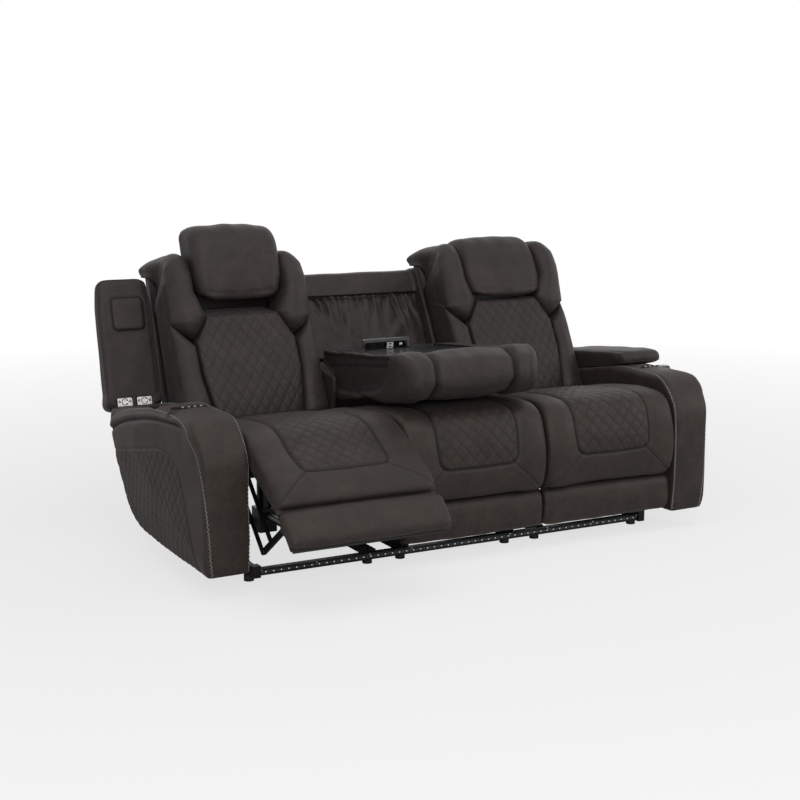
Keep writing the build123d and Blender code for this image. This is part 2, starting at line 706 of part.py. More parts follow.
def make_rear_links():
    """The two rear links on their torque tube, with the pins that carry the front links."""
    face = link_face(REAR_TOP, REAR_LOW, PIN_R + CLEAR, 0)
    with BuildPart() as links:
        for side in (-1, 1):
            add_link(face, REAR_LINK_X, side)
            with BuildSketch(side_plane(side * REAR_LINK_X)):
                with Locations(REAR_LOW):
                    Circle(PIN_R)
            extrude(amount=-side * (REAR_LINK_X - FRONT_LINK_X + CLEAR))
            crank_top = plus(REAR_TOP, (16, -26))
            add_link(link_face(REAR_TOP, crank_top, 0, 0), 60, side)
        with BuildSketch(side_plane(-REAR_LINK_X)):
            with Locations(REAR_TOP):
                Circle(TUBE_R)
        extrude(amount=2 * REAR_LINK_X)
    return links.part


def make_front_links():
    """The two front links, from behind the rear links' pins up to the footrest."""
    stub = plus(REAR_LOW, CONTROL_OFFSET_LOW)
    with BuildPart() as links:
        for side in (-1, 1):
            bar = link_face(REAR_LOW, FRONT_TOP, PIN_R + CLEAR, PIN_R + SLIP_FRONT[2], SLIP_FRONT[:2])
            add_link(bar, FRONT_LINK_X, side)
            with BuildSketch(side_plane(side * FRONT_LINK_X)):
                with Locations(stub):
                    Circle(PIN_R)
            extrude(amount=-side * (FRONT_LINK_X - CONTROL_LINK_X + CLEAR))
    return links.part


CONTROL_OFFSET_LOW = spin(CONTROL_OFFSET, FRONT_RATIO * CHAISE_REST)


def make_control_links():
    """The two control links, side by side with the rear links."""
    top = plus(REAR_TOP, CONTROL_OFFSET)
    low = plus(REAR_LOW, CONTROL_OFFSET_LOW)
    with BuildPart() as links:
        for side in (-1, 1):
            bar = link_face(top, low, PIN_R + CLEAR, PIN_R + SLIP_CONTROL[2], SLIP_CONTROL[:2])
            add_link(bar, CONTROL_LINK_X, side)
    return links.part


def make_mechanism_base():
    """The fixed steel plates on the floor rails that a seat carriage runs on."""
    plate = [(150, RAIL_Z + RAIL), (540, RAIL_Z + RAIL), (540, DECK_Z - CLEAR),
             (104, DECK_Z - CLEAR), (104, 300)]
    with BuildPart() as base:
        for side in (-1, 1):
            extrude(drawn(side_plane(side * (DECK_HALF - 12)), outline(plate)), amount=PLATE_T / 2, both=True)
            window = [(200, 110), (490, 110), (490, 330), (170, 330)]
            hole = drawn(side_plane(side * (DECK_HALF - 12)), outline(window, [(i, 30) for i in range(4)]))
            extrude(hole, amount=PLATE_T, both=True, mode=Mode.SUBTRACT)
        for cross in ((520, 90), (515, 360)):
            with BuildSketch(side_plane(-(DECK_HALF - 12))):
                with Locations(cross):
                    Circle(TUBE_R)
            extrude(amount=2 * (DECK_HALF - 12))
    return base.part


def make_recline_drive():
    """The drive: motor, gearbox and screw tube slung between the two cross tubes."""
    with BuildPart() as drive:
        with Locations(at(0, 520 - TUBE_R - CLEAR - 39, 100)):
            Box(70, 78, 90)
        with Locations(Location(at(0, 470, 190), (0, 0, 0))):
            Cylinder(28, 120)
        with Locations(Location(at(0, 300, 118), (90, 0, 0))):
            Cylinder(14, 300)
    return drive.part


# ------------------------------------------------------------------ backs
def back_front_face(points):
    """The front outline of one back cushion, for x > 0, and its mirror image."""
    with BuildSketch() as face:
        with BuildLine():
            Polyline(*points, close=True)
        make_face()
    return face.sketch


def back_quilt_side():
    with BuildSketch() as face:
        with BuildLine():
            Line((frame_y(455), 455), (506, 455))
            soft_curve((506, 455), (496, 500), (556, 655), (609, TIP_Z), (657, HEAD_BOTTOM_Z))
            Line((657, HEAD_BOTTOM_Z), (frame_y(HEAD_BOTTOM_Z), HEAD_BOTTOM_Z))
            Line((frame_y(HEAD_BOTTOM_Z), HEAD_BOTTOM_Z), (frame_y(455), 455))
        make_face()
    return face.sketch


def make_back_quilt():
    """The quilted centre of a back, drawn in towards the headrest."""
    points = [(16 - QUILT_HALF, 450), (QUILT_HALF - 16, 450), (QUILT_HALF, 600), (QUILT_HALF, TIP_Z),
              (QUILT_TOP_HALF, HEAD_BOTTOM_Z), (-QUILT_TOP_HALF, HEAD_BOTTOM_Z), (-QUILT_HALF, TIP_Z),
              (-QUILT_HALF, 600)]
    with BuildPart() as quilt:
        extrude(drawn(side_plane(-QUILT_HALF), back_quilt_side()), amount=2 * QUILT_HALF)
        extrude(drawn(FRONT_PLANE, back_front_face(points)), amount=-FRONT_DEPTH, mode=Mode.INTERSECT)
    return quilt.part


def bolster_side():
    """The lower side bolster from the side, a little prouder than the quilt."""
    with BuildSketch() as face:
        with BuildLine():
            Line((frame_y(450), 450), (505, 450))
            soft_curve((505, 450), (484, 510), (535, 660), (604, 800), (650, 860))
            Line((650, 860), (frame_y(860), 860))
            Line((frame_y(860), 860), (frame_y(450), 450))
        make_face()
    return face.sketch


def wing_side():
    """The upper wing from the side: full at the tip and lipped over the frame's top."""
    with BuildSketch() as face:
        with BuildLine():
            Line((frame_y(TIP_Z), TIP_Z), (612, TIP_Z))
            soft_curve((612, TIP_Z), (610, 810), (652, 950), (700, 1050), (752, WING_TOP_Z),
                   (880, 1074), (REAR_LIP_Y - 6, 1040))
            soft_curve((REAR_LIP_Y - 6, 1040), (REAR_LIP_Y, 1015), (REAR_LIP_Y - 22, FRAME_TOP_Z + CLEAR),
                   tangents=((0.2, -1), (-0.6, -1)))
            Line((REAR_LIP_Y - 22, FRAME_TOP_Z + CLEAR), (frame_y(FRAME_TOP_Z), FRAME_TOP_Z + CLEAR))
            Line((frame_y(FRAME_TOP_Z), FRAME_TOP_Z + CLEAR), (frame_y(TIP_Z), TIP_Z))
        make_face()
    return face.sketch


def make_back_bolsters():
    """The two lower bolsters and two upper wings that frame a back."""
    lower = [(QUILT_HALF + 2, 445), (BACK_HALF, 445), (BACK_HALF, 842), (QUILT_HALF + 6, TIP_Z - 4)]
    upper = [(QUILT_HALF + 2, TIP_Z), (BACK_HALF, 846), (BACK_HALF, 1060), (BACK_HALF - 30, 1100),
             (HEAD_HALF + 2, 1100), (HEAD_HALF + 2, 960), (QUILT_TOP_HALF + 2, HEAD_BOTTOM_Z)]
    with BuildPart() as bolsters:
        for side in (-1, 1):
            for side_face, front in ((bolster_side(), lower), (wing_side(), upper)):
                front = [(side * x, z) for x, z in front]
                with BuildPart(mode=Mode.PRIVATE) as pad:
                    extrude(drawn(side_plane(-BACK_HALF), side_face), amount=2 * BACK_HALF)
                    front_face = drawn(FRONT_PLANE, back_front_face(front))
                    extrude(front_face, amount=-FRONT_DEPTH, mode=Mode.INTERSECT)
                add(pad.part)
    return bolsters.part


def make_back_frame():
    """The back's upholstered board with the two steel arms that carry its pivots."""
    rear_foot = (FRAME_FOOT[0] + FRAME_T, FRAME_FOOT[1])
    rear_top = (frame_y(FRAME_TOP_Z) + FRAME_T, FRAME_TOP_Z)
    board = [FRAME_FOOT, rear_foot, rear_top, (frame_y(FRAME_TOP_Z), FRAME_TOP_Z)]
    arm = [(BACK_PIVOT[0] - 18, BACK_PIVOT[1] - 18), (BACK_PIVOT[0] + 18, BACK_PIVOT[1] - 20),
           (rear_foot[0] - 4, FRAME_FOOT[1]), (rear_foot[0] - 4, FRAME_FOOT[1] + 30),
           (FRAME_FOOT[0] + 14, FRAME_FOOT[1] + 30), (FRAME_FOOT[0] + 2, FRAME_FOOT[1] + 2),
           (BACK_PIVOT[0] - 16, BACK_PIVOT[1] + 18)]
    with BuildPart() as frame:
        extrude(drawn(side_plane(-BACK_HALF), outline(board)), amount=2 * BACK_HALF)
        for side in (-1, 1):
            plate = outline(arm, ((0, 14), (1, 14), (6, 14)))
            extrude(drawn(side_plane(side * (BACK_ARM_X + 3)), plate), amount=3, both=True)
            with BuildSketch(side_plane(side * (BACK_ARM_X + 3))):
                with Locations(BACK_PIVOT):
                    Circle(BACK_PIN_R + CLEAR)
            extrude(amount=4, both=True, mode=Mode.SUBTRACT)
    return frame.part


def headrest_side():
    with BuildSketch() as face:
        with BuildLine():
            Line((700, 872), (646, 872))
            soft_curve((646, 872), (629, 900), (674, 988), (739, 1070), (786, 1094), (842, 1087), (878, 1056))
            Line((878, 1056), (790, 930))
            Line((790, 930), (700, 872))
        make_face()
    return face.sketch


def headrest_front():
    points = [(-QUILT_TOP_HALF, 866), (QUILT_TOP_HALF, 866), (HEAD_HALF - 4, 960), (HEAD_HALF, 1110),
              (-HEAD_HALF, 1110), (4 - HEAD_HALF, 960)]
    return outline(points, ((0, 16), (1, 16)))


def make_headrest():
    """The headrest pillow, slotted behind for the two lugs that it tilts on."""
    with BuildPart() as head:
        extrude(drawn(side_plane(-HEAD_HALF), headrest_side()), amount=2 * HEAD_HALF)
        extrude(drawn(FRONT_PLANE, headrest_front()), amount=-FRONT_DEPTH, mode=Mode.INTERSECT)
        for side in (-1, 1):
            with Locations(at(side * LUG_X, HEAD_PIVOT[0] + 80, HEAD_PIVOT[1] - 2)):
                Box(LUG_T + 8, 200, 74, mode=Mode.SUBTRACT)
            with BuildSketch(side_plane(side * LUG_X)):
                with Locations(HEAD_PIVOT):
                    Circle(PIN_R + CLEAR)
            extrude(amount=16, both=True, mode=Mode.SUBTRACT)
    return head.part


def make_headrest_carrier():
    """The sliding plate of a headrest with its two lugs and their hinge pins."""
    low, high = 876.0, 974.0
    plate = [(frame_y(low) - CLEAR, low), (frame_y(high) - CLEAR, high),
             (frame_y(high) - 6, high), (frame_y(low) - 6, low)]
    lug = [(HEAD_PIVOT[0] - 11, HEAD_PIVOT[1] - 10), (HEAD_PIVOT[0] + 8, HEAD_PIVOT[1] - 14),
           (frame_y(900) - 4, 896), (frame_y(925) - 4, 925), (HEAD_PIVOT[0] - 4, HEAD_PIVOT[1] + 11)]
    with BuildPart() as carrier:
        extrude(drawn(side_plane(-CARRIER_HALF), outline(plate)), amount=2 * CARRIER_HALF)
        for side in (-1, 1):
            lug_plate = outline(lug, ((0, 6), (1, 4), (4, 6)))
            extrude(drawn(side_plane(side * LUG_X), lug_plate), amount=LUG_T / 2, both=True)
            with BuildSketch(side_plane(side * LUG_X)):
                with Locations(HEAD_PIVOT):
                    Circle(PIN_R)
            extrude(amount=15, both=True)
    return carrier.part


# ------------------------------------------------------------------ middle seat and its recess
def make_middle_deck():
    """The fixed middle seat's deck on two side panels that stand on the floor rails."""
    with BuildPart() as deck:
        length = DECK_REAR - 20 - DECK_FRONT
        with Locations(at(0, DECK_FRONT + length / 2, DECK_Z + DECK_T / 2)):
            Box(2 * DECK_HALF, length, DECK_T)
        for side in (-1, 1):
            with Locations(at(side * MIDDLE_RAIL_X, 270, (RAIL_Z + RAIL + DECK_Z) / 2)):
                Box(18, 490, DECK_Z - RAIL_Z - RAIL)
        with Locations(at(0, SKIRT_Y + SKIRT_T / 2, 240)):
            Box(2 * MIDDLE_RAIL_X, SKIRT_T, 304)
        for side in (-1, 1):
            with Locations(at(side * MIDDLE_RAIL_X, -16, 240)):
                Box(18, 84, 304)
    return deck.part


def wall_face():
    """A side wall of the recess: upright behind the console, foot forward to its hinge."""
    rear_top = (RAIL_TOP[0] + 50, RAIL_TOP[1] + 6)
    points = [(500, 440), (812, 440), rear_top, (884, 984), (722, 684), (652, 640), (470, 620), (470, 560)]
    return outline(points, ((2, 20), (3, 20), (6, 12)))


def make_middle_back_frame():
    """The recess behind the console: two side walls, the top rail and the rear board."""
    with BuildPart() as frame:
        for side in (-1, 1):
            wall = drawn(side_plane(side * sum(WALL_X) / 2), wall_face())
            extrude(wall, amount=(WALL_X[1] - WALL_X[0]) / 2, both=True)
        swing_y = CONSOLE_PIVOT[0] + SWING_R
        swing_z = GATHER_TOP_Z + (swing_y - PANEL_T - 4 - recess_y(GATHER_TOP_Z)) / RECESS_LEAN
        rear = [(recess_y(RAIL_TOP[1]), RAIL_TOP[1]), (recess_y(RAIL_TOP[1]) + 46, RAIL_TOP[1] + 2),
                (swing_y + 36, 440), (swing_y + 28, POST_TOP - 8), (632, POST_TOP - 8),
                (632, POST_TOP + 6), (swing_y, POST_TOP + 40), (swing_y, swing_z),
                (recess_y(GATHER_TOP_Z) + PANEL_T + 4, GATHER_TOP_Z),
                (recess_y(GATHER_TOP_Z), GATHER_TOP_Z)]
        extrude(drawn(side_plane(-WALL_X[0]), outline(rear)), amount=2 * WALL_X[0])
        for side in (-1, 1):
            with Locations(at(side * MIDDLE_RAIL_X, 654, (RAIL_Z + RAIL + POST_TOP) / 2)):
                Box(40, 40, POST_TOP - RAIL_Z - RAIL)
    return frame.part


def make_gathered_panel():
    """The gathered cover below the rail, with a shallow fold at each gather."""
    folds = 9
    pitch = (2 * WALL_X[0] - 4) / folds
    panel = [(recess_y(GATHER_TOP_Z - 1) + 6, GATHER_TOP_Z - 1),
             (recess_y(GATHER_TOP_Z - 1) + PANEL_T + 3.7, GATHER_TOP_Z - 1),
             (recess_y(GATHER_FOOT_Z) + PANEL_T + 3.7, GATHER_FOOT_Z),
             (recess_y(GATHER_FOOT_Z) + 6, GATHER_FOOT_Z)]
    with BuildPart() as cover:
        extrude(drawn(side_plane(-WALL_X[0] + 2), outline(panel)), amount=2 * WALL_X[0] - 4)
        for fold in range(1, folds):
            x = -WALL_X[0] + 2 + fold * pitch
            groove = [(recess_y(GATHER_TOP_Z - 12) - 2, GATHER_TOP_Z - 12),
                      (recess_y(GATHER_TOP_Z - 12) + 14, GATHER_TOP_Z - 12),
                      (recess_y(GATHER_FOOT_Z + 40) + 5, GATHER_FOOT_Z + 40)]
            extrude(drawn(side_plane(x), outline(groove)), amount=5, both=True, mode=Mode.SUBTRACT)
    return cover.part


def make_console_brackets():
    """The two hinge plates of the console, screwed inside the recess walls."""
    y, z = CONSOLE_PIVOT
    plate = [(y - 26, z - 22), (y + 40, z - 22), (y + 40, z + 30), (y - 10, z + 30), (y - 26, z + 14)]
    with BuildPart() as brackets:
        for side in (-1, 1):
            outer = side * (WALL_X[0] - 3)
            extrude(drawn(side_plane(outer), outline(plate, ((0, 10), (3, 10)))), amount=2.7, both=True)
            with BuildSketch(side_plane(outer)):
                with Locations(CONSOLE_PIVOT):
                    Circle(CONSOLE_PIN_R)
            extrude(amount=-side * 27)
    return brackets.part


# ------------------------------------------------------------------ console
def console_at(along, height):
    """A console point from its pivot: along it to the front, and up, before its tilt."""
    return (CONSOLE_PIVOT[0] - along, CONSOLE_PIVOT[1] + height)


def console_side_face():
    """The console from the side: flat table seat, bulging front end, soft underside."""
    with BuildSketch() as face:
        with BuildLine():
            Line(console_at(-34, -28), console_at(-34, 62))
            Line(console_at(-34, 62), console_at(-TRAY_REAR - 6, 98))
            Line(console_at(-TRAY_REAR - 6, 98), console_at(-TRAY_REAR - 6, CONSOLE_TOP))
            Line(console_at(-TRAY_REAR - 6, CONSOLE_TOP), console_at(480, CONSOLE_TOP + 2))
            soft_curve(console_at(480, CONSOLE_TOP + 2), console_at(545, CONSOLE_TOP + 10),
                   console_at(612, CONSOLE_TOP - 12), console_at(640, 78), console_at(608, 22),
                   console_at(530, -4), console_at(390, -24), console_at(230, -18),
                   console_at(60, -30), console_at(-34, -28))
        make_face()
    return face.sketch


def console_plan_face():
    """The console from above: full centre and wings that fall back at the corners."""
    with BuildSketch() as face:
        with BuildLine():
            Line(side_corner(-1, -TRAY_REAR - 8), side_corner(1, -TRAY_REAR - 8))
            Line(side_corner(1, -TRAY_REAR - 8), side_corner(1, 550))
            soft_curve(side_corner(1, 550), (CONSOLE_HALF - 9, -596), (CONSOLE_HALF - 50, -628),
                       (CONSOLE_HALF - 110, -636), (0, -642), (110 - CONSOLE_HALF, -636),
                       (50 - CONSOLE_HALF, -628), (9 - CONSOLE_HALF, -596), side_corner(-1, 550))
            Line(side_corner(-1, 550), side_corner(-1, -TRAY_REAR - 8))
        make_face()
    return face.sketch


def side_corner(side, along):
    return (side * CONSOLE_HALF, -along)


def console_plane(height):
    """The plane over the console at a height above its pivot, before its tilt."""
    return Plane(origin=at(0, CONSOLE_PIVOT[0], CONSOLE_PIVOT[1] + height))


def make_console_cushion():
    """The folded middle back: cushion, border and a well for the table."""
    with BuildPart() as console:
        extrude(drawn(side_plane(-CONSOLE_HALF), console_side_face()), amount=2 * CONSOLE_HALF)
        extrude(drawn(console_plane(-60), console_plan_face()), amount=300, mode=Mode.INTERSECT)
        with BuildSketch(console_plane(CONSOLE_TOP - TRAY_T)):
            with Locations((0, (TRAY_REAR - TRAY_FRONT) / 2 + 10)):
                Rectangle(2 * TRAY_HALF + 1, TRAY_FRONT + TRAY_REAR + 20)
        extrude(amount=60, mode=Mode.SUBTRACT)
        with BuildSketch(console_plane(CONSOLE_TOP - CUP_DEPTH - CUP_WALL - 1)):
            with Locations((-CUP_X, -CUP_FROM_PIVOT), (CUP_X, -CUP_FROM_PIVOT)):
                Circle(CUP_R + CUP_WALL + 1)
        extrude(amount=90, mode=Mode.SUBTRACT)
        for side in (-1, 1):
            with BuildSketch(side_plane(side * (CONSOLE_HALF + 1))):
                with Locations(CONSOLE_PIVOT):
                    Circle(CONSOLE_PIN_R + CLEAR)
            extrude(amount=-side * 24, mode=Mode.SUBTRACT)
            with BuildPart(mode=Mode.PRIVATE) as channel:
                extrude(drawn(side_plane(side * 163 - SEAM_W / 2), console_side_face()), amount=SEAM_W)
                inner = console_side_face().moved(Location((SEAM_DEPTH + 6, 4, 0)))
                extrude(drawn(side_plane(side * 163 - SEAM_W), inner), amount=2 * SEAM_W, mode=Mode.SUBTRACT)
                with Locations(at(side * 163, *console_at(600, 60))):
                    Box(4 * SEAM_W, 120, 220, mode=Mode.INTERSECT)
            add(channel.part, mode=Mode.SUBTRACT)
    return console.part


def make_console_tray():
    """The table top with cup openings and a well for the power panel."""
    with BuildPart() as tray:
        with BuildSketch(console_plane(CONSOLE_TOP - TRAY_T)):
            with Locations((0, (TRAY_REAR - TRAY_FRONT) / 2)):
                RectangleRounded(2 * TRAY_HALF, TRAY_FRONT + TRAY_REAR, 12)
        extrude(amount=TRAY_T - 6)
        with BuildSketch(console_plane(CONSOLE_TOP - 6)):
            with Locations((0, (TRAY_REAR - TRAY_FRONT) / 2)):
                RectangleRounded(2 * TRAY_HALF, TRAY_FRONT + TRAY_REAR, 12)
                RectangleRounded(2 * TRAY_HALF - 16, TRAY_FRONT + TRAY_REAR - 16, 8, mode=Mode.SUBTRACT)
        extrude(amount=6)
        with BuildSketch(console_plane(CONSOLE_TOP - TRAY_T)):
            with Locations((-CUP_X, -CUP_FROM_PIVOT), (CUP_X, -CUP_FROM_PIVOT)):
                Circle(CUP_R + CUP_WALL)
        extrude(amount=TRAY_T, mode=Mode.SUBTRACT)
        with BuildSketch(console_plane(CONSOLE_TOP - TRAY_T + 2)):
            with Locations((0, POWER_HINGE + POWER_T / 2 - POWER_L / 2)):
                Rectangle(2 * POWER_HALF + 2, POWER_L + 7)
        extrude(amount=TRAY_T, mode=Mode.SUBTRACT)
        with BuildSketch(side_plane(-POWER_HALF - 7)):
            with Locations(power_pivot()):
                Circle(POWER_PIN_R + CLEAR)
        extrude(amount=2 * POWER_HALF + 14, mode=Mode.SUBTRACT)
    return tray.part


def make_cup_holders():
    """Two lipped cups hung in the table."""
    with BuildPart() as cups:
        with BuildSketch(console_plane(CONSOLE_TOP - CUP_DEPTH - CUP_WALL)):
            with Locations((-CUP_X, -CUP_FROM_PIVOT), (CUP_X, -CUP_FROM_PIVOT)):
                Circle(CUP_R + CUP_WALL)
        extrude(amount=CUP_DEPTH + CUP_WALL - 4)
        with BuildSketch(console_plane(CONSOLE_TOP - 6)):
            with Locations((-CUP_X, -CUP_FROM_PIVOT), (CUP_X, -CUP_FROM_PIVOT)):
                Circle(CUP_R + 8)
        extrude(amount=2)
        with BuildSketch(console_plane(CONSOLE_TOP - CUP_DEPTH)):
            with Locations((-CUP_X, -CUP_FROM_PIVOT), (CUP_X, -CUP_FROM_PIVOT)):
                Circle(CUP_R)
        extrude(amount=CUP_DEPTH, mode=Mode.SUBTRACT)
    return cups.part


def make_power_panel():
    """The flip-up panel, drawn shut: bezel frame, recessed face and two hinge stubs."""
    with BuildPart() as panel:
        with BuildSketch(console_plane(CONSOLE_TOP - 6 - POWER_T)):
            with Locations((0, POWER_HINGE + POWER_T / 2 - POWER_L / 2)):
                RectangleRounded(2 * POWER_HALF, POWER_L, 4)
        extrude(amount=POWER_T)
        with BuildSketch(console_plane(CONSOLE_TOP - 6 - POWER_T)):
            with Locations((0, POWER_HINGE + POWER_T / 2 - POWER_L / 2)):
                RectangleRounded(2 * POWER_HALF - 12, POWER_L - 12, 3)
        extrude(amount=2.5, mode=Mode.SUBTRACT)
        for side in (-1, 1):
            with BuildSketch(side_plane(side * (POWER_HALF - 5))):
                with Locations(power_pivot()):
                    Circle(POWER_PIN_R)
            extrude(amount=side * 10)
    return panel.part


def power_pivot():
    """The power panel's hinge, before the console's tilt."""
    return console_at(-POWER_HINGE, CONSOLE_TOP - 6 - POWER_T / 2)


# ------------------------------------------------------------------ assembly
def write_pair(right_piece, label):
    """Writes a piece of the right arm and its mirror image for the left."""
    write(right_piece, f"right_{label}")
    write(right_piece.mirror(Plane.YZ), f"left_{label}")


def main():
    os.makedirs("parts", exist_ok=True)
    write(make_base_rails(), "base_rails")
    write(make_light_bar(), "light_bar")
    write(make_light_strip(), "light_strip")
    write(make_glides(), "glides")
    write_pair(make_arm(), "arm_body")
    bin_right = make_arm_bin()
    write(Compound(children=[bin_right, bin_right.mirror(Plane.YZ)]), "arm_bins")
    bezel = make_control_bezel()
    write(Compound(children=[bezel, bezel.mirror(Plane.YZ)]), "control_bezels")
    hinge_arms = make_hinge_arms()
    write(Compound(children=[hinge_arms, hinge_arms.mirror(Plane.YZ)]), "lid_hinge_arms")
    for number, x in enumerate(button_places(), start=1):
        button = make_button(x)
        write(button, f"right_button_{number}")
        write(button.mirror(Plane.YZ), f"left_button_{number}")
    lid, cups = make_lid(), make_lid_hinges()
    write(lid, "right_arm_lid")
    write(cups, "right_lid_hinges")
    write(turned(lid.mirror(Plane.YZ), LID_HINGE, -LID_REST_OPEN), "left_arm_lid")
    write(turned(cups.mirror(Plane.YZ), LID_HINGE, -LID_REST_OPEN), "left_lid_hinges")
    write_recliners()
    write_middle()


def write_recliners():
    seat, deck = make_seat_cushion(), make_seat_deck()
    bases, drive = make_mechanism_base(), make_recline_drive()
    backs = {"back_frame": make_back_frame(), "back_quilt": make_back_quilt(),
             "back_bolsters": make_back_bolsters()}
    for name, x in (("left", -SEAT_PITCH), ("right", SEAT_PITCH)):
        place = Location((x, 0, 0))
        write(seat.moved(place), f"{name}_seat_cushion")
        write(deck.moved(place), f"{name}_seat_deck")
        for label, piece in backs.items():
            write(piece.moved(place), f"{name}_{label}")
    both = [Location((x, 0, 0)) for x in (-SEAT_PITCH, SEAT_PITCH)]
    write(Compound(children=[bases.moved(place) for place in both]), "mechanism_bases")
    write(Compound(children=[drive.moved(place) for place in both]), "recline_drives")
    write(seat, "middle_seat_cushion")
    write_footrest("right", SEAT_PITCH, 0.0)
    write_footrest("left", -SEAT_PITCH, CHAISE_REST)
    write_headrest("right", SEAT_PITCH, 0.0, 0.0)
    write_headrest("left", -SEAT_PITCH, HEAD_REST_UP, HEAD_REST_TILT)


def write_footrest(name, x, opened):
    """Sets one footrest and its links at an opening angle of the lower front cushion."""
    place = Location((x, 0, 0))
    board_angle = CREASE_RATIO * opened
    chaise = {"chaise_pad": make_chaise_pad()}
    foot = {"footrest_board": make_footrest_board(), "footrest_pad": make_footpad()}
    foot = {label: turned(piece, CREASE, -board_angle) for label, piece in foot.items()}
    for label, piece in {**chaise, **foot}.items():
        write(turned(piece, CHAISE_PIVOT, -opened).moved(place), f"{name}_{label}")
    rear_turn = -REAR_RATIO * opened
    front_turn = -FRONT_RATIO * opened
    rear = turned(make_rear_links(), REAR_TOP, rear_turn)
    control = turned(make_control_links(), plus(REAR_TOP, CONTROL_OFFSET), rear_turn)
    front = turned(make_front_links(), REAR_LOW, front_turn)
    low = plus(REAR_TOP, spin(minus(REAR_LOW, REAR_TOP), rear_turn))
    shift = minus(low, REAR_LOW)
    front = front.moved(Location((0, shift[0], shift[1])))
    write(rear.moved(place), f"{name}_rear_links")
    write(front.moved(place), f"{name}_front_links")
    write(control.moved(place), f"{name}_control_links")


def write_headrest(name, x, up, tilt):
    """Sets one headrest raised along its frame and tilted forward."""
    run = Vector(FRAME_LEAN, 1, 0).normalized() * up
    place = Location((x, run.X, run.Y))
    head = turned(make_headrest(), HEAD_PIVOT, tilt)
    write(head.moved(place), f"{name}_headrest")
    write(make_headrest_carrier().moved(place), f"{name}_headrest_carrier")


def write_middle():
    write(make_middle_deck(), "middle_seat_deck")
    foot = make_footpad().moved(Location((0, -60 - CREASE[0], 0)))
    write(Compound(children=[make_chaise_pad(hinged=False), foot]), "middle_front_pad")
    write(make_middle_back_frame(), "middle_back_frame")
    write(make_gathered_panel(), "middle_gathered_panel")
    write(make_console_brackets(), "console_hinge_brackets")
    power = turned(make_power_panel(), power_pivot(), -POWER_REST)
    pieces = {"console_cushion": make_console_cushion(), "console_tray": make_console_tray(),
              "console_cup_holders": make_cup_holders(), "console_power_panel": power}
    for label, piece in pieces.items():
        write(turned(piece, CONSOLE_PIVOT, -CONSOLE_TILT), label)


if __name__ == "__main__":
    main()
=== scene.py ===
"""Dresses a three-seat power reclining sofa in leather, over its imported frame.

Side-view lengths are in millimetres: y runs to the rear from the front of the light bar, z is
up from the floor and x runs across the sofa.  They become metres only when a mesh is made.
"""

import math
from itertools import product

import bpy
import bmesh
import numpy as np
from bpy.props import FloatProperty, FloatVectorProperty, IntProperty, PointerProperty
from bpy.types import Operator, Panel, PropertyGroup
from mathutils import Euler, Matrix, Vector
from mathutils.bvhtree import BVHTree


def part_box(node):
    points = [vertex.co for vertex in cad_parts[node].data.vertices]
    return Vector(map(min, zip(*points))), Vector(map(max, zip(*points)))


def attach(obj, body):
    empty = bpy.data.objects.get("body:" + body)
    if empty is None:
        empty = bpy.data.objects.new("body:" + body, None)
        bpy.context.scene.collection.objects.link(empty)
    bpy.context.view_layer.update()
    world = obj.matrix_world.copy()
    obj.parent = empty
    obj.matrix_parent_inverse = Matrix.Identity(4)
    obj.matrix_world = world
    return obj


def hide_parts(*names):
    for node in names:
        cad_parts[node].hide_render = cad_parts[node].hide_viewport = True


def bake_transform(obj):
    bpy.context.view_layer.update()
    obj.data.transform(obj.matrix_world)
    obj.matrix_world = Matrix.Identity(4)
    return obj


bl_info = {
    "name": "Sofa Dresser",
    "version": (1, 0, 0),
    "blender": (4, 5, 0),
    "location": "3D View > Sidebar > Sofa",
    "description": "Makes the padding, stitching and finishes of a reclining sofa",
    "category": "Object",
}

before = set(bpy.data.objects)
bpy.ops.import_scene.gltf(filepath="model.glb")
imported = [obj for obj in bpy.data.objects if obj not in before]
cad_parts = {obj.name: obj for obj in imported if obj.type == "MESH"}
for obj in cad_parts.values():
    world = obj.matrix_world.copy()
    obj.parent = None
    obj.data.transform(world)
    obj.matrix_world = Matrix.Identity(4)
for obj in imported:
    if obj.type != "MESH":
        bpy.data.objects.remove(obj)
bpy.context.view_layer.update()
BAR_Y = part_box("light_strip")[0].y * 1000
SIDES = (("left", -1), ("right", 1))
SEAT_X = 590.0                   # centre of an outer seat
SEAT_HALF = 290.5                # half the width of a seat's cover
CHAISE_PIVOT = (-120.0, 500.0)   # where a seat's lower front swings
FOLD_PIVOT = (-62.0, 226.0)      # where the footrest folds below it
CHAISE_OPEN = 64.0               # degrees that the left one stands open
FOLD_RATIO = 0.28                # the footrest's fold to one degree of that
LEAN = 0.342                     # how far a back leans to one unit of height


# ------------------------------------------------------------------ settings
def tint(name, description, default):
    """A colour that can be set."""
    return FloatVectorProperty(name=name, description=description, subtype="COLOR", default=default,
                               min=0, max=1)


def amount(name, description, default, low, high):
    """A number that can be set."""
    return FloatProperty(name=name, description=description, default=default, min=low, max=high)


class SofaLeather(PropertyGroup):
    colour: tint("Leather", "Colour of the smooth leather", (0.0345, 0.0277, 0.0266))
    # Painted light: a warmer, browner copy of the one leather, for how light falls on seats, arms and
    # footrests.
    warm: tint("Seat leather", "Slightly browner leather of seats and arms", (0.0362, 0.0274, 0.0232))
    # Painted shade: this near-black colour is laid into seams, sewn channels and creases.
    groove_shade: tint("Groove", "Colour deep in seams and sewn channels", (0.0065, 0.0055, 0.0052))
    gloss: amount("Roughness", "Roughness of the leather", 0.5, 0.1, 1)
    grain: FloatProperty(name="Grain", description="Width of one pebble of the leather's grain",
                         default=0.0022, min=0.0005, max=0.01, unit="LENGTH")


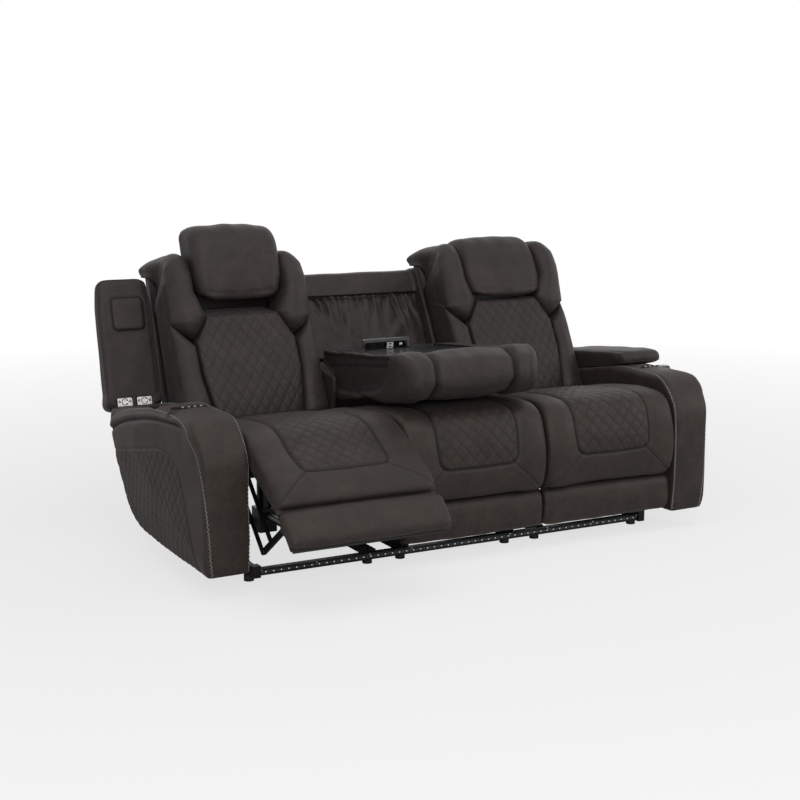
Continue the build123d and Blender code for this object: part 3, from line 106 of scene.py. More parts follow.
class SofaQuilting(PropertyGroup):
    seat_width: amount("Seat diamond width", "Width of a diamond on the seats, mm", 50.0, 20, 120)
    seat_height: amount("Seat diamond length", "Length of a diamond on the seats, mm", 58.0, 20, 120)
    back_width: amount("Back diamond width", "Width of a diamond on the backs, mm", 45.0, 20, 120)
    back_height: amount("Back diamond height", "Height of a diamond on the backs, mm", 60.0, 20, 120)
    depth: amount("Quilting depth", "Depth of the sewn lines, mm", 1.9, 0, 8)


class SofaTrim(PropertyGroup):
    thread: tint("Thread", "Colour of the contrast stitching", (0.30, 0.31, 0.31))
    stitch: amount("Stitch length", "Length of one contrast stitch, mm", 8.0, 3, 20)
    piping: amount("Piping radius", "Radius of the piping on the arms, mm", 2.2, 0.5, 6)
    lamps: IntProperty(name="Lamps", description="Small lamps along the light bar",
                       default=55, min=0, max=200)


class SofaStage(PropertyGroup):
    floor: tint("Floor", "Colour of the floor", (0.9, 0.9, 0.9))
    key: FloatProperty(name="Overhead light", description="Power of the large overhead lamp",
                       default=50.0, min=0, unit="POWER")
    fill: FloatProperty(name="Front light", description="Power of the large lamp beside the camera",
                        default=84.0, min=0, unit="POWER")


# ------------------------------------------------------------------ shader expressions
class Value:
    """A shader socket that takes part in plain arithmetic."""

    def __init__(self, graph, socket):
        self.graph = graph
        self.socket = socket

    def __add__(self, other):
        return self.graph.maths("ADD", self, other)

    def __sub__(self, other):
        return self.graph.maths("SUBTRACT", self, other)

    def __rsub__(self, other):
        return self.graph.maths("SUBTRACT", other, self)

    def __mul__(self, other):
        return self.graph.maths("MULTIPLY", self, other)

    def either(self, other):
        return self.graph.maths("MAXIMUM", self, other)

    __radd__ = __add__
    __rmul__ = __mul__


class Graph:
    """The shader nodes of a material or of the world, with the output they end in."""

    def __init__(self, owner, output):
        owner.use_nodes = True
        self.tree = owner.node_tree
        self.tree.nodes.clear()
        self.output = self.tree.nodes.new(output)

    def node(self, kind, settings=None, values=None, out=0):
        """A node of that type, with its settings, then its sockets' values or links."""
        made = self.tree.nodes.new(kind)
        for key, value in (settings or {}).items():
            setattr(made, key, value)
        for key, value in (values or {}).items():
            self.feed(made.inputs[key], value)
        return Value(self, made.outputs[out])

    def shown(self, value):
        """Makes a shader the one that the output shows."""
        self.feed(self.output.inputs[0], value)

    def feed(self, socket, value):
        if isinstance(value, Value):
            self.tree.links.new(value.socket, socket)
        elif socket.type == "RGBA" and len(value) == 3:
            socket.default_value = (*value, 1.0)
        else:
            socket.default_value = value

    def maths(self, operation, a, b):
        return self.node("ShaderNodeMath", {"operation": operation}, {0: a, 1: b})

    def blend(self, factor, a, b):
        """Colour a where the factor is 0, colour b where it is 1."""
        return self.node("ShaderNodeMix", {"data_type": "RGBA"}, {0: factor, 6: a, 7: b}, out=2)

    def between(self, value, low, high):
        """0 below low, 1 above high."""
        return self.node("ShaderNodeMapRange", None, {0: value, 1: low, 2: high})


class Finish(Graph):
    """The shader nodes of one material round its principled shader."""

    def __init__(self, name):
        self.material = bpy.data.materials.new(name)
        super().__init__(self.material, "ShaderNodeOutputMaterial")
        self.shader = self.tree.nodes.new("ShaderNodeBsdfPrincipled")
        self.shown(Value(self, self.shader.outputs[0]))

    def place(self):
        return self.node("ShaderNodeTexCoord", out=3)

    def noise(self, scale, detail, place=None):
        return self.node("ShaderNodeTexNoise", None,
                         {"Vector": place or self.place(), "Scale": scale, "Detail": detail})

    def cells(self, scale, place):
        return self.node("ShaderNodeTexVoronoi", None, {"Vector": place, "Scale": scale})

    def mark(self, name):
        """A number stored on the mesh's points."""
        return self.node("ShaderNodeAttribute", {"attribute_name": name}, out=2)

    def bump(self, height, strength, distance):
        return self.node("ShaderNodeBump", None,
                         {"Strength": strength, "Distance": distance, "Height": height})

    def surface(self, **sockets):
        """Sets the shader's own sockets, such as base_color or coat_weight."""
        for key, value in sockets.items():
            self.feed(self.shader.inputs[key.replace("_", " ").title().replace("Ior", "IOR")], value)
        return self.material


def scaled(colour, factor):
    return tuple(c * factor for c in colour)


def leather(name, colour, settings, mottling=0.5):
    """Matte pebbled leather with painted shade in its seams, sewn channels and creases, and a little rubbed in
    random patches.
    """
    finish = Finish(name)
    place = finish.place()
    seam = finish.mark("seam")
    cloud = finish.noise(9.0, 3.0, place)
    fine = finish.noise(105.0, 3.0, place)
    pebble = finish.cells(1.0 / settings.grain, place)
    pore = finish.noise(1.6 / settings.grain, 2.0, place)
    worn = tuple(min(1.0, c * k) for c, k in zip(colour, (1.6, 1.5, 1.42)))
    rubbed = finish.noise(24.0, 4.0, place)
    shade = finish.between(cloud * 0.55 + rubbed * 0.45 + (fine - 0.5) * 0.5, 0.34, 0.7)
    groove_shade = tuple(settings.groove_shade)
    tone = finish.blend(shade * (mottling * 2), scaled(colour, 0.8), worn)
    tone = finish.blend(finish.between(pebble, 0.28, 0.62) * 0.35, tone, groove_shade)
    # Painted shade: the seam mark darkens seams, sewn channels and creases toward the near-black seam colour.
    tone = finish.blend(finish.between(seam, 0.05, 0.9), tone, groove_shade)
    crinkle = finish.noise(28.0, 4.0, place)
    height = (1.0 - pebble) * 0.5 + pore * 0.5 + fine * 1.1 + crinkle * 2.2
    return finish.surface(
        base_color=tone,
        roughness=settings.gloss + (fine - 0.5) * 0.16 + seam * 0.2,
        normal=finish.bump(height, 0.4, 0.0011),
        specular_ior_level=0.24, sheen_weight=0.03, sheen_roughness=0.5)


def painted_steel(name, colour, roughness=0.45, metallic=0.6):
    """Powder-coated steel with a little dust on it."""
    finish = Finish(name)
    spots = finish.noise(160.0, 3.0)
    dust = finish.noise(12.0, 4.0)
    tone = finish.blend(finish.between(dust, 0.45, 0.8) * 0.5, colour, scaled(colour, 1.7))
    return finish.surface(base_color=tone, roughness=roughness + (dust - 0.5) * 0.3,
                          normal=finish.bump(spots, 0.25, 0.0004), metallic=metallic)


def moulded(name, colour, roughness=0.4, coat=0.0):
    """Moulded plastic, faintly smeared."""
    finish = Finish(name)
    texture = finish.noise(900.0, 2.0)
    smear = finish.noise(14.0, 3.0)
    pale = tuple(c * 1.5 + 0.002 for c in colour)
    tone = finish.blend(finish.between(smear, 0.4, 0.75) * 0.4, colour, pale)
    return finish.surface(base_color=tone, roughness=roughness + (smear - 0.5) * 0.25,
                          normal=finish.bump(texture, 0.2, 0.0002), coat_weight=coat)


def plated(name, colour=(0.62, 0.61, 0.59)):
    """Bright metal with fine wear."""
    finish = Finish(name)
    wear = finish.noise(220.0, 3.0)
    tone = finish.blend(finish.between(wear, 0.4, 0.7), colour, scaled(colour, 0.8))
    return finish.surface(base_color=tone, roughness=0.24 + (wear - 0.5) * 0.2, metallic=1.0,
                          normal=finish.bump(wear, 0.08, 0.0003))


def board(name):
    """Dark dust cloth over a seat's deck board."""
    finish = Finish(name)
    weave = finish.node("ShaderNodeTexWave", {"wave_type": "BANDS", "bands_direction": "DIAGONAL"},
                        {"Vector": finish.place(), "Scale": 260.0, "Distortion": 1.5})
    fibre = finish.noise(500.0, 3.0)
    tone = finish.blend(weave * fibre, (0.012, 0.012, 0.012), (0.035, 0.034, 0.033))
    return finish.surface(base_color=tone, roughness=0.85, normal=finish.bump(weave, 0.3, 0.0005))


def glowing(name, colour, strength):
    """A small mark that gives off light, for the light bar's lamps and for the printed marks, whose glow is
    painted light.
    """
    finish = Finish(name)
    mist = finish.noise(300.0, 2.0)
    tone = finish.blend(mist, colour, scaled(colour, 0.8))
    return finish.surface(base_color=tone, roughness=0.35, emission_color=colour, emission_strength=strength)


MATERIALS = {}


def finishes():
    """Makes each material once, from the settings."""
    if MATERIALS:
        return MATERIALS
    s = bpy.context.scene.sofa_leather
    t = bpy.context.scene.sofa_trim
    MATERIALS.update(
        leather=leather("leather_plain", s.colour, s),
        # Painted light: seats, arms and footrests take the warmer copy of the leather.
        warm=leather("leather_seat_lit", s.warm, s),
        # Painted shade: the seat covers take a slightly darker copy of the seat leather, to tone down their lit
        # tops.
        quilt=leather("leather_quilted", scaled(s.warm, 0.94), s, 0.48),
        # Painted shade: the gathered cover deep in the recess takes a darker copy of the plain leather.
        slack=leather("leather_slack", scaled(s.colour, 0.95), s, 0.4),
        thread=moulded("thread_grey", tuple(t.thread), 0.7),
        # Painted highlight: the piping's leather is lighter than the rest, for the light that its round cords
        # catch.
        piping=leather("leather_piping_highlit", (0.05, 0.043, 0.04), s, 0.05),
        frame_steel=painted_steel("steel_black", (0.012, 0.012, 0.013)),
        link_steel=painted_steel("steel_links", (0.017, 0.017, 0.018), 0.38, 0.8),
        plastic=moulded("plastic_black", (0.011, 0.011, 0.012)),
        gloss=moulded("plastic_gloss", (0.006, 0.006, 0.007), 0.16, 0.4),
        tray=moulded("plastic_tray", (0.008, 0.008, 0.009), 0.3, 0.2),
        board=board("deck_cloth"),
        diffuser=moulded("diffuser_strip", (0.035, 0.037, 0.04), 0.3),
        chrome=plated("plated_hinge"),
        cup=plated("cup_steel", (0.42, 0.42, 0.43)),
        silver=plated("panel_silver", (0.5, 0.5, 0.5)),
        lamp=glowing("lamp_dot", (0.75, 0.8, 0.86), 0.35),
        # Painted light: the printed marks glow though they are no lamps.
        mark=glowing("printed_mark_glowing", (0.85, 0.85, 0.85), 0.4),
        stub=moulded("port_white", (0.62, 0.62, 0.6), 0.4))
    return MATERIALS


# ------------------------------------------------------------------ lines and curves
def spin(points, pivot, degrees):
    """Side-view points (y, z) turned about a pivot; a positive angle lifts what is behind it."""
    a = math.radians(degrees)
    p = np.asarray(points, float) - pivot
    turned = np.stack([p[..., 0] * math.cos(a) - p[..., 1] * math.sin(a),
                       p[..., 0] * math.sin(a) + p[..., 1] * math.cos(a)], -1)
    return turned + np.asarray(pivot, float)


def through(points):
    """A close run of points on a smooth line through the given ones."""
    p = np.asarray(points, float)
    p = np.vstack([2 * p[0] - p[1], p, 2 * p[-1] - p[-2]])
    runs = []
    for a, b, c, d in zip(p, p[1:], p[2:], p[3:]):
        gaps = [max(float(np.linalg.norm(r - q)), 1e-6) ** 0.5 for q, r in ((a, b), (b, c), (c, d))]
        k = np.cumsum([0.0] + gaps)
        t = np.linspace(k[1], k[2], 16, endpoint=False)[:, None]
        ab = (k[1] - t) / (k[1] - k[0]) * a + (t - k[0]) / (k[1] - k[0]) * b
        bc = (k[2] - t) / (k[2] - k[1]) * b + (t - k[1]) / (k[2] - k[1]) * c
        cd = (k[3] - t) / (k[3] - k[2]) * c + (t - k[2]) / (k[3] - k[2]) * d
        abc = (k[2] - t) / (k[2] - k[0]) * ab + (t - k[0]) / (k[2] - k[0]) * bc
        bcd = (k[3] - t) / (k[3] - k[1]) * bc + (t - k[1]) / (k[3] - k[1]) * cd
        runs.append((k[2] - t) / (k[2] - k[1]) * abc + (t - k[1]) / (k[2] - k[1]) * bcd)
    return np.vstack(runs + [p[-2:-1]])


def lengths(line):
    """How far along a line each of its points is."""
    return np.concatenate([[0.0], np.cumsum(np.linalg.norm(np.diff(line, axis=0), axis=1))])


def even(line, count):
    """The line marked off in that many even places."""
    run = lengths(line)
    marks = np.linspace(0, run[-1], count)
    return np.stack([np.interp(marks, run, line[:, i]) for i in range(line.shape[1])], -1)


def near(px, py, line):
    """Distance from each place to a line of points."""
    line = np.asarray(line, float)
    best = np.full(np.broadcast(px, py).shape, 1e9)
    for (ax, ay), (bx, by) in zip(line, line[1:]):
        vx, vy = bx - ax, by - ay
        t = np.clip(((px - ax) * vx + (py - ay) * vy) / max(vx * vx + vy * vy, 1e-9), 0, 1)
        best = np.minimum(best, np.hypot(px - ax - t * vx, py - ay - t * vy))
    return best


def inside(px, py, outline):
    """True within a closed outline."""
    found = np.zeros(np.broadcast(px, py).shape, bool)
    line = list(outline) + [outline[0]]
    for (ax, ay), (bx, by) in zip(line, line[1:]):
        if ay != by:
            crossing = (ay > py) != (by > py)
            found ^= crossing & (px < (bx - ax) * (py - ay) / (by - ay) + ax)
    return found


def ease(value, low, high):
    """0 up to low, 1 from high, smooth between."""
    t = np.clip((np.asarray(value, float) - low) / (high - low), 0, 1)
    return t * t * (3 - 2 * t)


def dip(distance, width):
    """1 on a line, fading to either side of it."""
    return np.exp(-(distance / width) ** 2)


def arch(value, span):
    """1 in the middle of a span that runs to either side of zero, 0 at its ends."""
    return np.cos(np.clip(value / span, -1, 1) * math.pi / 2)


def swell(value, span):
    """1 halfway along a span that starts at zero, 0 at its ends."""
    return np.sin(np.clip(value / span, 0, 1) * math.pi)


def quilting(a, b, width, height, depth):
    """Height and seam of sewn diamonds over places a (across) and b (along)."""
    u, v = a / width + b / height, a / width - b / height
    unit = 1.0 / math.hypot(1.0 / width, 1.0 / height)
    d = np.minimum(np.abs(u - np.round(u)), np.abs(v - np.round(v))) * unit
    return depth * (ease(d, 0, 8) - 1), dip(d, 2.0) * 0.62


def ripple(a, b, seed, size, height):
    """A slow uneven swell, the same on each run."""
    rng = np.random.default_rng(seed)
    total = np.zeros(np.broadcast(a, b).shape)
    for _ in range(7):
        turn = rng.uniform(0, 2 * math.pi)
        wave = 2 * math.pi / (size * rng.uniform(0.6, 1.7))
        total = total + np.sin(wave * (a * math.cos(turn) + b * math.sin(turn)) + rng.uniform(0, 6.3))
    return total * height / 4.0


def wrinkle(a, b, start, end, width, height):
    """One long fold between two places."""
    return height * dip(near(a, b, [start, end]), width)


# ------------------------------------------------------------------ meshes
def metres(points):
    """Side-view lengths as places in the scene."""
    p = np.array(points, float)
    p[:, 1] += BAR_Y
    return p / 1000.0


def mark_seams(mesh, seam):
    """Stores how deep in a seam or crease each point of a mesh is, from 0 to 1; the leather paints shade there.
    """
    values = np.asarray(seam, np.float32)
    mesh.attributes.new("seam", "FLOAT", "POINT").data.foreach_set("value", values)


def made(name, points, faces, seam=None, smooth=True):
    """A mesh piece from side-view points."""
    mesh = bpy.data.meshes.new(name)
    mesh.from_pydata(metres(points).tolist(), [], [list(map(int, face)) for face in faces])
    if seam is not None:
        mark_seams(mesh, seam)
    mesh.polygons.foreach_set("use_smooth", [smooth] * len(mesh.polygons))
    mesh.update()
    piece = bpy.data.objects.new(name, mesh)
    bpy.context.scene.collection.objects.link(piece)
    return piece


def faced_out(piece):
    """Turns every face of a closed piece outward."""
    shape = bmesh.new()
    shape.from_mesh(piece.data)
    bmesh.ops.recalc_face_normals(shape, faces=shape.faces)
    shape.to_mesh(piece.data)
    shape.free()
    return piece


def finished(piece, material, body=None, blended=None, instead=()):
    """Gives a piece its material, and the body that it rides on."""
    piece.data.materials.clear()
    piece.data.materials.append(finishes()[material])
    if blended:
        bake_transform(piece)
    else:
        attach(piece, body)
    if instead:
        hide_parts(*instead)
    return piece


def pillow(name, outer, inner, limits, edge, fall, end_edge, relief, place, step=4.6, tuck=0.0, rings=4,
           end_fall=None, wide=(1.0, 1.0)):
    """A closed pad: an outer side-view line padded over an inner one, between two side limits.

    limits are its left and right x, each a number or a function of y and z.  Its crown falls by
    fall within edge of its sides (wide scales edge at either one), and by end_fall (fall if it
    has none) within end_edge of its ends.  relief gives a height and a seam mark at (x, run, y, z).
    """
    path = through(outer)
    rows = max(int(lengths(path)[-1] / step), 6)
    line = even(path, rows)
    run = lengths(line)
    tangent = np.gradient(line, axis=0)
    tangent /= np.linalg.norm(tangent, axis=1)[:, None]
    normal = np.stack([tangent[:, 1], -tangent[:, 0]], -1)
    lo, hi = (np.broadcast_to(side(*line.T) if callable(side) else side, (rows,)).astype(float)
              for side in limits)
    cols = max(int(np.max(hi - lo) / step), 6)
    u = np.linspace(0, 1, cols)
    u = 0.72 * u + 0.28 * (0.5 - 0.5 * np.cos(math.pi * u))
    x = lo[:, None] + u * (hi - lo)[:, None]
    s, y, z = (np.broadcast_to(values[:, None], x.shape) for values in (run, line[:, 0], line[:, 1]))

    def rounded(distance, radius):
        return np.sqrt(np.maximum(1 - (1 - np.clip(distance / radius, 0, 1)) ** 2, 0))

    sides = rounded(x - lo[:, None], edge * wide[0]) * rounded(hi[:, None] - x, edge * wide[1])
    caps = rounded(np.minimum(s, run[-1] - s), end_edge)
    shallow = fall if end_fall is None else end_fall
    height = -(shallow + (fall - shallow) * ease(s, 0, 110)) * (1 - sides) - shallow * sides * (1 - caps)
    lift, seam = relief(x, s, y, z)
    height = height + lift * np.clip(sides * caps * 1.4, 0, 1)
    top = np.stack([x, y + normal[:, :1] * height, z + normal[:, 1:] * height], -1)
    back = even(np.asarray(inner, float), rows)
    return closed_pad(name, top, np.broadcast_to(seam, x.shape).reshape(-1), back, tuck, rings, place)


def closed_pad(name, top, seam, back, tuck, rings, place):
    """Closes a grid of points with walls, drawn in by tuck, and with a back that follows its own line."""
    rows, cols = top.shape[:2]
    index = np.arange(rows * cols).reshape(rows, cols)
    edge_loop = np.concatenate([index[0], index[1:, -1], index[-1, -2::-1], index[-2:0:-1, 0]])
    at_row = np.repeat(np.arange(rows), cols)[edge_loop]
    flat = top.reshape(-1, 3)
    rim = flat[edge_loop]
    foot = np.stack([rim[:, 0], back[at_row, 0], back[at_row, 1]], -1)
    middle = rim[:, 0].mean()
    inward = np.sign(middle - rim[:, 0]) * (np.abs(middle - rim[:, 0]) > 10)
    points = [flat]
    loops = [edge_loop]
    for ring in range(1, rings + 1):
        t = ring / rings
        level = rim + (foot - rim) * t
        level[:, 0] += inward * (tuck * math.sin(math.pi * t))
        points.append(level)
        loops.append(np.arange(len(edge_loop)) + rows * cols + (ring - 1) * len(edge_loop))
    squares = np.stack([index[:-1, :-1], index[:-1, 1:], index[1:, 1:], index[1:, :-1]], -1)
    faces = list(squares.reshape(-1, 4))
    for a, b in zip(loops, loops[1:]):
        faces += list(np.stack([a, b, np.roll(b, -1), np.roll(a, -1)], -1))
    last = loops[-1]
    right_side = [last[cols - 1 + j] for j in range(rows)]
    left_side = [last[0]] + [last[len(last) - j] for j in range(1, rows)]
    faces.append(list(last[:cols]) + [right_side[1], left_side[1]])
    for j in range(1, rows - 2):
        faces.append([left_side[j], right_side[j], right_side[j + 1], left_side[j + 1]])
    end_row = [last[cols - 1 + rows - 1 + i] for i in range(cols)]
    faces.append([left_side[rows - 2], right_side[rows - 2]] + end_row)
    marks = np.concatenate([seam] + [seam[edge_loop]] * rings)
    return faced_out(made(name, place(np.vstack(points)), faces, marks))


def both(half):
    """The side limits of a pad that is as wide to the left as to the right."""
    return (lambda y, z: -half(y, z)), half


def handed(hand, near_x, far_x, wide):
    """Side limits, and the widths of the edges, of a pad on one hand of its seat's centre."""
    if hand > 0:
        return {"limits": (near_x, far_x), "wide": (1.0, wide)}
    return {"limits": ((lambda y, z: -far_x(y, z)), (lambda y, z: -near_x(y, z))), "wide": (wide, 1.0)}


def shifted(x, turn=(), rise=0.0):
    """A placing that turns side-view points, slides them up a back's lean and sets them over a seat."""
    run = rise / math.hypot(1.0, LEAN)

    def move(points):
        p = np.array(points, float)
        for pivot, degrees in turn:
            p[:, 1:] = spin(p[:, 1:], pivot, degrees)
        return p + np.array([x, run * LEAN, run])
    return move


def read_points(piece):
    """A piece's points as side-view lengths, and its normals there."""
    vertices = piece.data.vertices
    found = {}
    for name in ("co", "normal"):
        found[name] = np.empty(len(vertices) * 3)
        vertices.foreach_get(name, found[name])
    p = found["co"].reshape(-1, 3) * 1000.0
    p[:, 1] -= BAR_Y
    return p, found["normal"].reshape(-1, 3)


def write_points(piece, points, seam=None):
    """Moves a piece's points to side-view places, and marks its seams."""
    mesh = piece.data
    mesh.vertices.foreach_set("co", metres(points).reshape(-1))
    if seam is not None:
        mark_seams(mesh, seam)
    mesh.update()
    return piece


def evenly_meshed(name, node, voxel):
    """A fine even copy of a CAD solid, ready for soft detail."""
    piece = bpy.data.objects.new(name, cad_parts[node].data.copy())
    bpy.context.scene.collection.objects.link(piece)
    modifier = piece.modifiers.new("even", "REMESH")
    modifier.mode = "VOXEL"
    modifier.voxel_size = voxel / 1000.0
    modifier.use_smooth_shade = True
    graph = bpy.context.evaluated_depsgraph_get()
    even_mesh = bpy.data.meshes.new_from_object(piece.evaluated_get(graph))
    piece.modifiers.clear()
    piece.data = even_mesh
    return piece


def softened(piece, rounds, keep=None):
    """Evens out a mesh; keep is 1 where it must stay as it is."""
    mesh = piece.data
    edges = np.empty(len(mesh.edges) * 2, np.int64)
    mesh.edges.foreach_get("vertices", edges)
    a, b = edges.reshape(-1, 2).T
    p, _ = read_points(piece)
    count = np.bincount(np.concatenate([a, b]), minlength=len(p))[:, None]
    share = 0.5 if keep is None else 0.5 * (1 - keep(p))[:, None]
    for _ in range(rounds):
        total = np.stack([np.bincount(a, p[b, i], len(p)) + np.bincount(b, p[a, i], len(p))
                          for i in range(3)], -1)
        p = p + (total / np.maximum(count, 1) - p) * share
    return write_points(piece, p)


def part_of(name, node, wanted):
    """The faces of a CAD solid whose corners all pass a test, as a piece of their own."""
    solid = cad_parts[node]
    p, _ = read_points(solid)
    good = wanted(p)
    faces = [list(f.vertices) for f in solid.data.polygons if all(good[i] for i in f.vertices)]
    used = sorted({i for face in faces for i in face})
    number = {old: new for new, old in enumerate(used)}
    return made(name, p[used], [[number[i] for i in face] for face in faces], smooth=False)


def bands(start, rows, sides):
    """The faces between rings of points that follow one another."""
    return [[start + row * sides + i, start + row * sides + (i + 1) % sides,
             start + (row + 1) * sides + (i + 1) % sides, start + (row + 1) * sides + i]
            for row in range(rows - 1) for i in range(sides)]


def tube(name, line, radius, material, body):
    """A closed round cord along side-view points."""
    sides = 6
    tangent = np.gradient(line, axis=0)
    tangent /= np.linalg.norm(tangent, axis=1)[:, None]
    across = np.cross(tangent, (0.3, 0.2, 1.0))
    across /= np.linalg.norm(across, axis=1)[:, None]
    over = np.cross(across, tangent)
    ring = np.arange(sides) * 2 * math.pi / sides
    points = (line[:, None] + radius * (np.cos(ring)[None, :, None] * across[:, None]
                                        + np.sin(ring)[None, :, None] * over[:, None])).reshape(-1, 3)
    faces = bands(0, len(line), sides)
    faces.append(list(range(sides)))
    faces.append([(len(line) - 1) * sides + i for i in range(sides)])
    piece = faced_out(made(name, points, faces, np.zeros(len(points))))
    return finished(piece, material, body)


BLOCK_CORNERS = np.array(list(product((-1, 1), repeat=3)))
BLOCK_FACES = ((0, 1, 3, 2), (4, 6, 7, 5), (0, 4, 5, 1), (2, 3, 7, 6), (0, 2, 6, 4), (1, 5, 7, 3))


def boxes(name, places, material, body):
    """Small blocks, each given by its centre, half sizes and three axes."""
    points, faces = [], []
    for centre, half, axes in places:
        faces += [[len(points) + i for i in face] for face in BLOCK_FACES]
        points += [np.asarray(centre) + (corner * half) @ axes for corner in BLOCK_CORNERS]
    piece = faced_out(made(name, np.array(points), faces, smooth=False))
    return finished(piece, material, body)


def surface_of(piece):
    """A searchable copy of a piece's surface, in metres."""
    mesh = piece.data
    return BVHTree.FromPolygons([v.co.copy() for v in mesh.vertices], [list(f.vertices) for f in mesh.polygons])


def laid_on(surface, points, proud):
    """Side-view points dropped on the nearest place of a surface, with its normals there."""
    places, normals = [], []
    for p in metres(points):
        hit, normal, _, _ = surface.find_nearest(Vector(p))
        hit = hit + normal * proud / 1000.0
        places.append([hit.x * 1000, hit.y * 1000 - BAR_Y, hit.z * 1000])
        normals.append(list(normal))
    return np.array(places), np.array(normals)


# ------------------------------------------------------------------ seats
SEAT_TOP = [(484, 474), (424, 499), (300, 526), (200, 541), (100, 551), (30, 554)]
SEAT_NOSE = [(-30, 549), (-66, 534), (-92, 508), (-108, 470), (-121, 425)]
SEAT_LOW = [(-129, 356), (-121, 286), (-103, 246), (-80, 231)]
QUILT_FOOT = SEAT_LOW[0]
PANEL_HALF = 166.0   # half the width of the quilted panel


def seat_lines(opened):
    """A seat's outer and inner side-view lines, with its lower front turned up by an angle."""
    if not opened:
        return SEAT_TOP + SEAT_NOSE + SEAT_LOW, [(484, 433), (-52, 433), (-60, 425), (-60, 232)]
    nose = [(-30, 548), (-85, 531), (-135, 505), (-180, 481)]
    inner = [(484, 433), (-45, 433)] + list(spin([(-60, 470), (-60, 232)], CHAISE_PIVOT, -opened))
    return SEAT_TOP + nose + list(spin(SEAT_LOW, CHAISE_PIVOT, -opened)), inner


def seat_relief(line, opened, seed):
    """The quilted panel, its sewn channel and the seams that run on to the front corners."""
    q = bpy.context.scene.sofa_quilting
    smooth = through(line)
    run = lengths(smooth)
    foot = spin([QUILT_FOOT], CHAISE_PIVOT, -opened)[0]
    low = run[np.argmin(np.linalg.norm(smooth - foot, axis=1))]
    total = run[-1]
    half = PANEL_HALF
    bend = low - 330
    right = [(0, low + 4), (70, low + 2), (140, low - 2), (half - 8, low - 16), (half, low - 60),
             (half + 3, bend), (half - 6, 120), (140, 40)]
    sewn = through([(-x, s) for x, s in right[:0:-1]] + right)

    def relief(x, s, y, z):
        within = inside(x, s, sewn)
        edge = near(x, s, sewn)
        h, mark = quilting(x, s - low, q.seat_width, q.seat_height, q.depth)
        panel = within * ease(edge, 3, 12)
        lift = panel * (h + 3.0 + 4.0 * ease(edge, 10, 70)) - 7.0 * dip(edge, 6.5)
        seam = panel * (mark * 0.85 + 0.06) + dip(edge, 4.6)
        diagonal = np.minimum(near(x, s, [(-143, low - 6), (-285, total - 22)]),
                              near(x, s, [(143, low - 6), (285, total - 22)]))
        lift = lift - 3.0 * dip(diagonal, 4.5)
        seam = seam + 0.8 * dip(diagonal, 2.4)
        beside = ~within * ease(edge, 6, 40)
        lift = lift + beside * (5.0 * swell(np.abs(x) - half, 122))
        lift = lift + ripple(x, s, seed, 150, 1.6)
        if opened:
            for start, end in (((196, 205), (262, 190)), ((186, 245), (270, 228)), ((200, 278), (255, 268)),
                               ((192, 330), (268, 318))):
                lift = lift - wrinkle(x, s, start, end, 7, 2.6)
                lift = lift + wrinkle(x, s + 13, start, end, 9, 1.5)
        return lift, np.clip(seam, 0, 1)
    return relief


def seat_cover(name, x, opened, seed):
    """A seat's cover, run on over its lower front."""
    outer, inner = seat_lines(opened)
    return pillow(name, outer, inner, (-SEAT_HALF, SEAT_HALF), edge=30, fall=20, end_edge=18, end_fall=15,
                  relief=seat_relief(outer, opened, seed), place=shifted(x), tuck=1.5, rings=5)


def footpad(name, x, turn, seed):
    """The footrest's padded end, below the crease."""
    outer = [(-64, 228.5), (-82, 227), (-99, 209), (-105, 165), (-104, 135), (-97, 106), (-82, 93), (-66, 92)]
    inner = [(-62.3, 226.5), (-62.3, 92.5)]

    def relief(a, s, y, z):
        return 2.5 * arch(a, 290) + ripple(a, s, seed, 120, 1.3), 0 * a
    return pillow(name, outer, inner, (-SEAT_HALF, SEAT_HALF), edge=28, fall=14, end_edge=12, relief=relief,
                  place=shifted(x, turn), tuck=1.0, rings=3)


class SOFA_OT_seats(Operator):
    """Makes the quilted seat covers, each one skin from its seat over the hinged lower front"""
    bl_idname = "sofa.seats"
    bl_label = "Seats"

    def execute(self, context):
        for side, sign in SIDES:
            opened = CHAISE_OPEN if side == "left" else 0.0
            cover = seat_cover(f"{side}_seat_cover", sign * SEAT_X, opened, 3 + sign)
            on_seat = (0, (-20 + BAR_Y) / 1000, 0.55)
            on_chaise = (0, (-118 + BAR_Y) / 1000, 0.50 if opened else 0.46)
            finished(cover, "quilt",
                     blended=(f"{side}_seat", f"{side}_chaise", on_seat, on_chaise),
                     instead=(f"{side}_seat_cushion", f"{side}_chaise_pad"))
        middle = seat_cover("middle_seat_cover", 0.0, 0.0, 9)
        finished(middle, "quilt", "base",
                 instead=("middle_seat_cushion", "middle_front_pad"))
        return {"FINISHED"}


class SOFA_OT_footrests(Operator):
    """Makes the padded ends of the footrests and the middle seat's fixed one"""
    bl_idname = "sofa.footrests"
    bl_label = "Footrest pads"

    def execute(self, context):
        for side, sign in SIDES:
            opened = ((FOLD_PIVOT, FOLD_RATIO * CHAISE_OPEN), (CHAISE_PIVOT, -CHAISE_OPEN))
            turn = opened if side == "left" else ()
            pad = footpad(f"{side}_footrest_cover", sign * SEAT_X, turn, 20 + sign)
            finished(pad, "warm", f"{side}_footrest", instead=(f"{side}_footrest_pad",))
        finished(footpad("middle_foot_cover", 0.0, (), 23), "warm", "base")
        return {"FINISHED"}


# ------------------------------------------------------------------ backs
def frame_y(z):
    """The front of a back's board at a height."""
    return 700 + LEAN * (z - 440)


